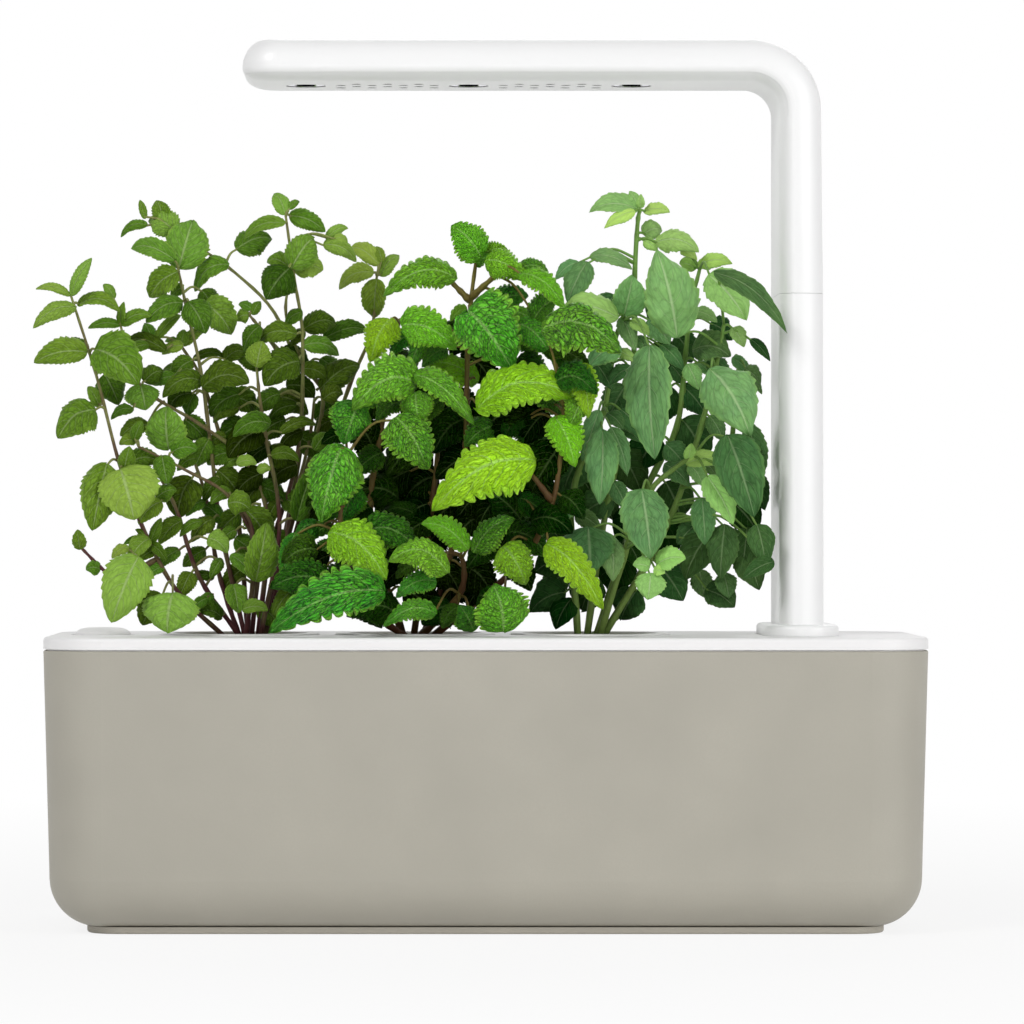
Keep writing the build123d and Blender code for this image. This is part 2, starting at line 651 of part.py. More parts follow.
def lamp_body(inset=0.0):
    """Head, elbow and upper post as one solid, thinned on every side by inset."""
    with BuildPart() as body:
        extrude(
            lamp_section(head_plane(HEAD_CORNER_X), HEAD_THICKNESS, inset),
            amount=ELBOW_X - HEAD_CORNER_X,
        )
        # Rounded end: two quarter turns and the stretch between them
        for side in (-1, 1):
            corner = Plane(
                origin=(HEAD_CORNER_X, side * HEAD_CORNER_Y, HEAD_UNDERSIDE),
                x_dir=(0, side, 0),
                z_dir=(side, 0, 0),
            )
            corner_axis = Axis(corner.origin, (0, 0, side))
            revolve(edge_section(corner, inset), axis=corner_axis, revolution_arc=90)
        end = Plane(
            origin=(HEAD_CORNER_X, -HEAD_CORNER_Y, HEAD_UNDERSIDE), x_dir=(-1, 0, 0), z_dir=(0, 1, 0)
        )
        extrude(edge_section(end, inset), amount=2 * HEAD_CORNER_Y)
        # Elbow and upper post
        elbow_axis = Axis((ELBOW_X, 0, ELBOW_Z), (0, 1, 0))
        revolve(
            lamp_section(head_plane(ELBOW_X), HEAD_THICKNESS, inset), axis=elbow_axis, revolution_arc=90
        )
        loft(
            [
                lamp_section(leg_plane(ELBOW_Z), HEAD_THICKNESS, inset),
                lamp_section(leg_plane(POST_SEAM), SEAM_THICKNESS, inset),
            ],
            ruled=True,
        )
    return body.part


def cover_zone(height):
    """Everything within height of the underside: head, elbow and the top of the post's inner side."""
    reach = 2 * LAMP_HALF_DEPTH
    with BuildPart() as zone:
        with BuildSketch(Plane.XZ.offset(-LAMP_HALF_DEPTH)):
            with BuildLine():
                Line((HEAD_END - 1, HEAD_UNDERSIDE - 1), (HEAD_END - 1, HEAD_UNDERSIDE + height))
                Line((HEAD_END - 1, HEAD_UNDERSIDE + height), (ELBOW_X, HEAD_UNDERSIDE + height))
                CenterArc((ELBOW_X, ELBOW_Z), ELBOW_INNER_RADIUS + height, 0, 90)
                Line((POST_INNER_X + height, ELBOW_Z), (POST_INNER_X + height, COVER_END_Z))
                Line((POST_INNER_X + height, COVER_END_Z), (POST_INNER_X - 1, COVER_END_Z))
                Line((POST_INNER_X - 1, COVER_END_Z), (POST_INNER_X - 1, ELBOW_Z))
                CenterArc((ELBOW_X, ELBOW_Z), ELBOW_INNER_RADIUS - 1, 0, 90)
                Line((ELBOW_X, HEAD_UNDERSIDE - 1), (HEAD_END - 1, HEAD_UNDERSIDE - 1))
            make_face()
        extrude(amount=reach)
    return zone.part


def tongue(height, length, widen=0.0):
    """Plug tongue that hangs down from height, widened on every side by widen."""
    with BuildPart() as plug:
        with BuildSketch(Plane.XY.offset(height)):
            with Locations((POST_X, 0)):
                RectangleRounded(TONGUE_WIDTH + 2 * widen, TONGUE_DEPTH + 2 * widen, TONGUE_CORNER)
        extrude(amount=-length)
    return plug.part


def thickness_at(height):
    """Post thickness at a height between its foot and its seam."""
    share = (height - ARM_FOOT) / (POST_SEAM - ARM_FOOT)
    return FOOT_THICKNESS + share * (SEAM_THICKNESS - FOOT_THICKNESS)


PLUG_FIT = SHELL_WALL + 0.1
ARM_PLUG_TOP = ARM_FOOT + 6.0
ARM_SOCKET_FOOT = POST_SEAM - LAMP_TONGUE_LENGTH - 3.5
ARM_SOCKET_FLOOR = ARM_SOCKET_FOOT + 2.0
LAMP_PLUG_TOP = POST_SEAM + 7.0

with BuildPart() as extension_arm:
    for inset, mode in ((0.0, Mode.ADD), (SHELL_WALL, Mode.SUBTRACT)):
        loft(
            [
                lamp_section(leg_plane(POST_SEAM - SEAM_GAP), SEAM_THICKNESS, inset),
                lamp_section(leg_plane(ARM_FOOT), FOOT_THICKNESS, inset),
            ],
            ruled=True,
            mode=mode,
        )
extension_arm.part.label = "extension_arm"
export_step(extension_arm.part, "parts/extension_arm.step")

with BuildPart() as arm_plug:
    extrude(
        lamp_section(leg_plane(ARM_PLUG_TOP), thickness_at(ARM_PLUG_TOP), PLUG_FIT),
        amount=ARM_PLUG_TOP - ARM_FOOT,
    )
    add(tongue(ARM_FOOT, TONGUE_LENGTH))
    with Locations([(POST_X, y, ARM_FOOT - TONGUE_LENGTH + CONTACT_DEPTH) for y in CONTACT_Y]):
        Hole(radius=CONTACT_RADIUS + CONTACT_GAP, depth=CONTACT_DEPTH)
arm_plug.part.label = "arm_plug"
export_step(arm_plug.part, "parts/arm_plug.step")

with BuildPart() as arm_socket:
    extrude(
        lamp_section(leg_plane(POST_SEAM), thickness_at(POST_SEAM), PLUG_FIT),
        amount=POST_SEAM - ARM_SOCKET_FOOT,
    )
    add(tongue(POST_SEAM, POST_SEAM - ARM_SOCKET_FLOOR, TONGUE_GAP), mode=Mode.SUBTRACT)
    with Locations([(POST_X, y, ARM_SOCKET_FLOOR) for y in CONTACT_Y]):
        Hole(radius=CONTACT_RADIUS + CONTACT_GAP, depth=ARM_SOCKET_FLOOR - ARM_SOCKET_FOOT)
arm_socket.part.label = "arm_socket"
export_step(arm_socket.part, "parts/arm_socket.step")

PIN_FOOT = ARM_SOCKET_FOOT - 2.0
PIN_LENGTH = 11.0

with BuildPart() as arm_contacts:
    with BuildSketch(Plane.XY.offset(PIN_FOOT)):
        with Locations([(POST_X, y) for y in CONTACT_Y]):
            Circle(CONTACT_RADIUS)
    extrude(amount=PIN_LENGTH)
arm_contacts.part.label = "arm_contacts"
export_step(arm_contacts.part, "parts/arm_contacts.step")

with BuildPart() as arm_harness:
    with BuildSketch(Plane.XY.offset(ARM_PLUG_TOP)):
        with Locations([(POST_X, y) for y in CONTACT_Y]):
            Circle(WIRE_RADIUS)
    extrude(amount=PIN_FOOT - ARM_PLUG_TOP)
arm_harness.part.label = "arm_harness"
export_step(arm_harness.part, "parts/arm_harness.step")


# ---------------------------------------------------------------- lamp

HEAD_CAVITY_FLOOR = HEAD_UNDERSIDE + SHELL_WALL
HEAD_CAVITY_TOP = HEAD_UNDERSIDE + HEAD_THICKNESS - SHELL_WALL
SPREADER_TOP = BOARD_UNDERSIDE + BOARD_THICKNESS + SPREADER_THICKNESS
LED_SPAN = LED_X[-1] - LED_X[0]
LED_CENTRE = (LED_X[0] + LED_X[-1]) / 2
LED_BOARD_LENGTH = LED_SPAN + 24.0
LED_BOARD_DEPTH = 24.0
SPREADER_LENGTH = LED_SPAN + 22.0
SPREADER_DEPTH = 42.0
BOARD_SCREW_SPOTS = [(LED_CENTRE + x, y) for x in (-40.0, 40.0) for y in (-8.5, 8.5)]
HOOK_X = (-50.0, -6.0, 38.0, 74.0)
HOOK_Y = 22.4
HOOK_LENGTH = 8.0
HOOK_THICKNESS = 1.4
HOOK_HEIGHT = 5.0

with BuildPart() as lamp_upper_shell:
    add(lamp_body())
    add(lamp_body(SHELL_WALL), mode=Mode.SUBTRACT)
    add(cover_zone(COVER_HEIGHT + COVER_GAP / 2), mode=Mode.SUBTRACT)
    with BuildSketch(Plane.XY.offset(SPREADER_TOP)):
        with Locations(BOARD_SCREW_SPOTS):
            Circle(BOSS_RADIUS)
    extrude(amount=HEAD_CAVITY_TOP - SPREADER_TOP)
    with BuildSketch(Plane.XY.offset(SPREADER_TOP)):
        with Locations(BOARD_SCREW_SPOTS):
            Circle(SCREW_RADIUS + 0.05)
    extrude(amount=HEAD_CAVITY_TOP - SPREADER_TOP - 0.5, mode=Mode.SUBTRACT)
lamp_upper_shell.part.label = "lamp_upper_shell"
export_step(lamp_upper_shell.part, "parts/lamp_upper_shell.step")


def vent_spots(centre):
    """Staggered vent holes about a centre, four rows of four and three in turn."""
    spots = []
    for row, count in enumerate((4, 3, 4, 3)):
        y = (1.5 - row) * VENT_ROW
        spots += [(centre + (i - (count - 1) / 2) * VENT_PITCH, y) for i in range(count)]
    return spots


with BuildPart() as lamp_lower_cover:
    add(lamp_body())
    add(lamp_body(SHELL_WALL), mode=Mode.SUBTRACT)
    add(cover_zone(COVER_HEIGHT - COVER_GAP / 2), mode=Mode.INTERSECT)
    with BuildSketch(Plane.XY.offset(HEAD_UNDERSIDE)):
        with Locations([(x, 0) for x in LED_X]):
            Circle(LED_WINDOW_RADIUS)
        with Locations([spot for x in VENT_GROUP_X for spot in vent_spots(x)]):
            Circle(VENT_RADIUS)
    extrude(amount=SHELL_WALL, mode=Mode.SUBTRACT)
    # Snap hooks inside the upper shell's side walls
    with BuildSketch(Plane.XY.offset(HEAD_CAVITY_FLOOR)):
        with Locations([(x, side * HOOK_Y) for x in HOOK_X for side in (-1, 1)]):
            Rectangle(HOOK_LENGTH, HOOK_THICKNESS)
    extrude(amount=HOOK_HEIGHT)
lamp_lower_cover.part.label = "lamp_lower_cover"
export_step(lamp_lower_cover.part, "parts/lamp_lower_cover.step")

with BuildPart() as lamp_plug:
    extrude(
        lamp_section(leg_plane(LAMP_PLUG_TOP), SEAM_THICKNESS - 0.1, PLUG_FIT),
        amount=LAMP_PLUG_TOP - POST_SEAM,
    )
    add(tongue(POST_SEAM, LAMP_TONGUE_LENGTH))
    with Locations([(POST_X, y, POST_SEAM - LAMP_TONGUE_LENGTH + CONTACT_DEPTH) for y in CONTACT_Y]):
        Hole(radius=CONTACT_RADIUS + CONTACT_GAP, depth=CONTACT_DEPTH)
lamp_plug.part.label = "lamp_plug"
export_step(lamp_plug.part, "parts/lamp_plug.step")

WIRE_BEND = 14.0
WIRE_LEVEL = BOARD_UNDERSIDE + BOARD_THICKNESS / 2
LED_BOARD_END = LED_CENTRE + LED_BOARD_LENGTH / 2

with BuildPart() as lamp_harness:
    for wire_y in (-5.0, 0.0, 5.0):
        with BuildLine(Plane.XZ.offset(-wire_y)) as wire:
            FilletPolyline(
                (POST_X, LAMP_PLUG_TOP),
                (POST_X, WIRE_LEVEL),
                (LED_BOARD_END, WIRE_LEVEL),
                radius=WIRE_BEND,
            )
        with BuildSketch(Plane(origin=(POST_X, wire_y, LAMP_PLUG_TOP))):
            Circle(WIRE_RADIUS)
        sweep(path=wire.wire())
lamp_harness.part.label = "lamp_harness"
export_step(lamp_harness.part, "parts/lamp_harness.step")

with BuildPart() as led_board:
    with BuildSketch(Plane.XY.offset(BOARD_UNDERSIDE)):
        with Locations((LED_CENTRE, 0)):
            Rectangle(LED_BOARD_LENGTH, LED_BOARD_DEPTH)
        with Locations(BOARD_SCREW_SPOTS):
            Circle(SCREW_RADIUS + 0.2, mode=Mode.SUBTRACT)
    extrude(amount=BOARD_THICKNESS)
led_board.part.label = "led_board"
export_step(led_board.part, "parts/led_board.step")

with BuildPart() as heat_spreader:
    with BuildSketch(Plane.XY.offset(BOARD_UNDERSIDE + BOARD_THICKNESS)):
        with Locations((LED_CENTRE, 0)):
            RectangleRounded(SPREADER_LENGTH, SPREADER_DEPTH, 6.0)
        with Locations(BOARD_SCREW_SPOTS):
            Circle(SCREW_RADIUS + 0.2, mode=Mode.SUBTRACT)
    extrude(amount=SPREADER_THICKNESS)
heat_spreader.part.label = "heat_spreader"
export_step(heat_spreader.part, "parts/heat_spreader.step")

with BuildPart() as board_screws:
    with BuildSketch(Plane.XY.offset(BOARD_UNDERSIDE - SCREW_HEAD)):
        with Locations(BOARD_SCREW_SPOTS):
            Circle(SCREW_HEAD_RADIUS - 0.4)
    extrude(amount=SCREW_HEAD)
    with BuildSketch(Plane.XY.offset(BOARD_UNDERSIDE)):
        with Locations(BOARD_SCREW_SPOTS):
            Circle(SCREW_RADIUS)
    extrude(amount=BOARD_THICKNESS + SPREADER_THICKNESS + 3.0)
board_screws.part.label = "board_screws"
export_step(board_screws.part, "parts/board_screws.step")

LENS_LEVEL = HEAD_UNDERSIDE + 0.1
LENS_EDGE = 0.25

with BuildPart() as led_emitters:
    for led_x in LED_X:
        add(
            revolved_about(
                led_x,
                [
                    (0, BOARD_UNDERSIDE),
                    (LED_RADIUS, BOARD_UNDERSIDE),
                    (LED_RADIUS, LENS_LEVEL + LENS_EDGE),
                    (LED_RADIUS - LENS_EDGE, LENS_LEVEL),
                    (0, LENS_LEVEL),
                ],
            )
        )
led_emitters.part.label = "led_emitters"
export_step(led_emitters.part, "parts/led_emitters.step")

REFLECTOR_GAP = 0.15
REFLECTOR_FLANGE = 1.4
REFLECTOR_FLANGE_HEIGHT = 0.8
REFLECTOR_THROAT = LED_RADIUS + 0.25
REFLECTOR_TOP = BOARD_UNDERSIDE - 0.3

with BuildPart() as led_reflectors:
    for led_x in LED_X:
        rim = LED_WINDOW_RADIUS - REFLECTOR_GAP
        add(
            revolved_about(
                led_x,
                [
                    (rim, HEAD_UNDERSIDE + 0.3),
                    (rim, HEAD_CAVITY_FLOOR),
                    (rim + REFLECTOR_FLANGE, HEAD_CAVITY_FLOOR),
                    (rim + REFLECTOR_FLANGE, HEAD_CAVITY_FLOOR + REFLECTOR_FLANGE_HEIGHT),
                    (REFLECTOR_THROAT + 1.2, REFLECTOR_TOP),
                    (REFLECTOR_THROAT, REFLECTOR_TOP),
                    (REFLECTOR_THROAT, REFLECTOR_TOP - 0.6),
                    (rim - 0.5, HEAD_UNDERSIDE + 0.3),
                ],
            )
        )
led_reflectors.part.label = "led_reflectors"
export_step(led_reflectors.part, "parts/led_reflectors.step")


# ---------------------------------------------------------------- plants

# Stems run through the listed points. A leaf row gives, seen from the front, the blade's
# base (x, z) and tip (x, z), then its width and the depth y of its base.
LEFT_STEM_RADIUS = 0.9
LEFT_STEMS = [
    [(-90, 0, 100), (-108, -12, 118), (-120, -16, 141), (-128, -14, 163), (-136, -10, 193), (-145, -8, 221)],
    [(-82, 0, 100), (-80, -4, 130), (-89, -8, 150), (-105, -10, 160), (-121, -12, 168)],
    [(-80, 3, 100), (-76, 4, 140), (-84, 3, 163), (-100, 2, 176), (-121, -2, 190), (-128, -2, 211)],
    [(-84, 2, 100), (-93, 4, 140), (-96, 5, 165), (-100, 6, 195), (-105, 6, 217), (-108, 6, 231)],
    [(-83, 5, 100), (-88, 8, 150), (-99, 8, 190), (-107, 8, 204)],
    [(-78, 10, 100), (-70, 14, 140), (-64, 16, 180), (-72, 16, 212), (-88, 14, 230), (-109, 12, 244)],
    [(-80, 6, 100), (-76, 8, 130), (-66, 8, 165), (-64, 8, 205), (-67, 6, 228), (-70, 4, 250)],
    [(-78, 8, 100), (-66, 16, 150), (-57, 18, 184), (-64, 14, 198), (-70, 10, 215), (-68, 8, 231)],
    [(-80, 16, 100), (-62, 30, 150), (-48, 36, 190), (-40, 38, 210), (-38, 38, 230)],
    [(-84, -2, 100), (-81, -6, 125), (-82, -8, 141), (-88, -8, 149)],
    [(-79, -4, 100), (-72, -2, 140), (-77, -2, 172), (-79, -4, 186), (-80, -4, 196)],
    [(-71, 13, 200), (-78, 12, 209), (-83, 12, 215)],
    [(-114, -14, 129), (-128, -20, 122), (-133, -20, 125), (-141, -20, 133)],
    [(-86, 6, 100), (-94, 6, 125), (-98, 4, 150), (-104, 2, 168)],
    [(-80, 4, 100), (-74, 4, 120), (-68, 10, 146), (-62, 14, 170), (-60, 16, 186)],
    [(-85, 2, 100), (-100, -4, 122), (-108, -8, 146), (-114, -10, 158)],
    [(-78, 12, 100), (-70, 14, 125), (-64, 16, 150), (-58, 20, 178)],
]
LEFT_LEAVES = [
    (-145, 221, -138, 234, 4.5, -8), (-145, 221, -157, 223.5, 3, -8),
    (-143, 217, -158, 210, 6, -10), (-143, 218, -128, 216, 5.5, -4),
    (-139, 201, -157, 197.5, 8.5, -14), (-140, 201, -148, 205, 6, 2),
    (-136, 202, -121, 190, 15, -14), (-136, 181, -149, 171, 14, -14),
    (-134, 194, -129, 183, 10, 4), (-132, 162, -136.5, 139, 13, -18),
    (-127, 160, -122, 143, 19, -22), (-126, 161, -114, 163, 8, -6),
    (-126, 159, -124, 168, 5.5, -16), (-123, 170, -120, 177, 4, -8),
    (-120, 130, -129, 107, 15, -34), (-108, 117, -110, 103.5, 18, -36),
    (-112, 116, -119, 106, 10, -26), (-117, 134, -126, 134, 3, -15),
    (-117, 134, -113, 143, 3.5, -15), (-117, 134, -111, 128, 3.5, -15),
    (-117, 134, -122, 139, 2.5, -15), (-141, 132, -142, 139, 4.5, -20),
    (-134, 125, -139, 125, 5, -20), (-109, 244, -119, 249, 10, 12), (-113, 247, -116, 256, 6, 14),
    (-119, 247, -129, 243, 3.5, 12), (-120, 249, -122, 256, 2.5, 12),
    (-90, 233, -103, 224, 7, 10), (-88, 238.5, -75, 243, 9.5, 16), (-108, 231, -103, 249, 14, 8),
    (-109, 234, -125, 238.5, 6.5, 4), (-108, 230, -118, 221, 9.5, 2),
    (-106, 219, -119, 212, 8, 0), (-104, 219, -98, 208, 10, -2), (-99, 219, -89, 208, 10.5, 8),
    (-116, 206, -107, 215, 3.5, 4), (-117, 205, -120, 212, 5, 4), (-128, 211, -139, 210, 3.5, -2),
    (-128, 211, -117, 214, 4.5, -2), (-128, 211, -127, 219, 3, -2), (-107, 204, -106, 210, 4, 8),
    (-107, 204, -113, 206, 3, 8), (-107, 204, -99, 210, 4.5, 10), (-103, 199, -110, 192, 6.5, 6),
    (-103, 199, -91, 200, 3.5, 10), (-99, 189, -83, 191, 10.5, -4), (-99, 191, -113, 186, 7.5, 0),
    (-102, 187, -105, 179, 5.5, 4), (-83, 215, -88, 213, 5, 12), (-82, 215, -79, 220, 3.5, 12),
    (-70, 250, -74, 258, 5.5, 4), (-69, 252, -65, 255, 2.5, 4), (-70, 247, -85, 242, 4.5, 2),
    (-69, 250, -56, 244.5, 6.5, 8), (-68, 231, -60, 242, 10.5, 2), (-67, 230, -57, 231, 9.5, 8),
    (-69, 232, -77, 234, 6, 8), (-68.5, 231, -76.5, 220, 12, -2), (-57, 240, -45, 234, 5.5, 12),
    (-56, 242, -48, 246, 3.5, 14), (-37, 234, -48, 240.5, 6, 38), (-37, 230, -30, 238, 5.5, 40),
    (-39, 231, -52, 225.5, 6.5, 34), (-38, 229, -39, 215, 8, 36), (-64, 210, -52, 212, 8, 14),
    (-57, 207, -41, 210, 6, 22), (-64, 204, -51, 201, 6.5, 8), (-66, 208, -80, 205, 7, 6),
    (-79, 211, -85, 202, 6.5, 4), (-65, 198, -77, 190, 12, -4), (-64, 196, -56, 193, 6, 12),
    (-58, 189, -44, 198, 9, 16), (-57, 185, -50, 187, 7, 10), (-80, 196, -78, 205, 8, -6),
    (-121, 190, -119, 181, 11, -2), (-120, 191, -113, 195, 7, 2), (-112, 202, -127, 205, 5, 2),
    (-111, 167, -112, 182, 13, -2), (-123, 181, -131, 178, 4, -6), (-113, 165, -111, 155, 7, -12),
    (-115, 150, -108, 153, 6, -12), (-103, 157, -108, 143, 12, -2), (-99, 142, -107, 137, 4, -6),
    (-97, 136, -90, 131, 6.5, -10), (-92, 108, -100, 110, 6, -4), (-88, 120, -86, 110, 7, -12),
    (-85, 111, -76, 111, 4.5, -14), (-80, 121, -76, 141, 10.5, -16), (-89, 130, -81, 122, 5, -14),
    (-92, 129, -96, 122, 4, -8), (-90, 148, -82, 146, 8.5, -12), (-66, 142, -60, 161, 7, -6),
    (-87, 162, -80, 162, 4, -8), (-80, 160, -75, 160, 4, -8), (-75, 176, -88, 172, 7, -6),
    (-110, 166, -101, 167, 7, -4), (-75, 165, -65, 163, 4.5, -4), (-72, 173, -59, 176, 4, 2),
    (-60, 167, -55, 173, 5, 4), (-95, 122, -104, 121, 4, 0), (-74, 186, -62, 180, 8, 10),
    (-70, 178, -80, 170, 8, 8), (-66, 172, -56, 164, 8, 14), (-76, 168, -66, 158, 8, 6),
    (-84, 176, -94, 170, 8, 6), (-88, 166, -98, 162, 7, 4), (-94, 160, -86, 150, 8, 4),
    (-80, 154, -70, 148, 8, 4), (-72, 150, -62, 142, 8, 8), (-84, 146, -76, 134, 9, 2),
    (-92, 142, -100, 148, 6, 2), (-98, 132, -106, 126, 6, 0), (-88, 136, -80, 128, 7, 6),
    (-76, 138, -68, 128, 8, 6), (-72, 124, -64, 114, 8, 8), (-80, 112, -72, 104, 7, 4),
    (-92, 199, -84, 202, 6, 12), (-90, 186, -80, 180, 8, 10), (-100, 175, -108, 170, 6, 8),
    (-72, 202, -62, 194, 8, 14), (-58, 200, -50, 190, 8, 20), (-60, 178, -50, 182, 7, 22),
    (-104, 190, -114, 196, 6, 8), (-100, 224, -95, 215, 7, 12), (-106, 178, -98, 170, 7, 6),
    (-118, 176, -128, 172, 6, 0), (-66, 156, -58, 150, 6, 16), (-70, 190, -60, 186, 8, 12),
    (-78, 196, -88, 200, 7, 10), (-84, 126, -92, 118, 6, 4), (-78, 174, -90, 165, 11, 0),
    (-86, 187, -97, 179, 8, 4), (-66, 162, -76, 154, 8, 6), (-78, 159, -88, 151, 8, 2),
    (-113, 149, -121, 141, 7, -14), (-103, 187, -112, 181, 7, 2), (-72, 187, -81, 180, 7, 6),
    (-86, 145, -94, 137, 7, 2), (-95, 143, -103, 135, 6, -2), (-117, 136, -124, 128, 6, -16),
    (-97, 171, -102, 161, 7, 4), (-103, 124, -107, 115, 6, -6), (-106, 142, -114, 134, 6, -8),
    (-78, 155, -85, 147, 6, 4), (-73, 149, -77, 139, 5, 4), (-75, 169, -84, 161, 6, 4),
    (-64, 174, -73, 167, 6, 6), (-67, 118, -74, 109, 6, -8), (-98, 118, -106, 111, 5, -6),
    (-93, 157, -99, 149, 5, 0), (-58, 148, -64, 140, 6, 14), (-66, 183, -76, 178, 5, 4),
    (-86, 182, -96, 177, 5, 4), (-107, 132, -114, 126, 5, -6), (-64, 216, -71, 210, 5, 6),
    (-53, 178, -60, 172, 6, 18), (-106, 204, -114, 201, 4, 4), (-118, 204, -125, 201, 4, 0),
    (-135, 182, -139, 189, 4, -8), (-89, 152, -96, 148, 4.5, -4), (-109, 193, -117, 190, 4.5, 4),
    (-98, 149, -105, 144, 4.5, -2), (-87, 139, -93, 134, 4.5, -2), (-124, 133, -130, 129, 4, -20),
    (-95, 116, -101, 112, 4, -4), (-130, 220, -134, 225, 3.5, -4), (-106, 225, -111, 221, 4, 8),
    (-122, 170, -128, 169, 4, -6), (-101, 164, -108, 160, 4.5, 0), (-115, 132, -121, 128, 4, -14),
    (-112, 126, -118, 122, 4, -14), (-82, 217, -87, 219, 3.5, 12), (-63, 209, -69, 204, 4.5, 10),
    (-91, 172, -98, 168, 4.5, 6), (-85, 164, -92, 161, 4.5, 2), (-36, 235, -38, 241, 3.5, 38),
    (-53, 242, -48, 241, 3.5, 12),
]

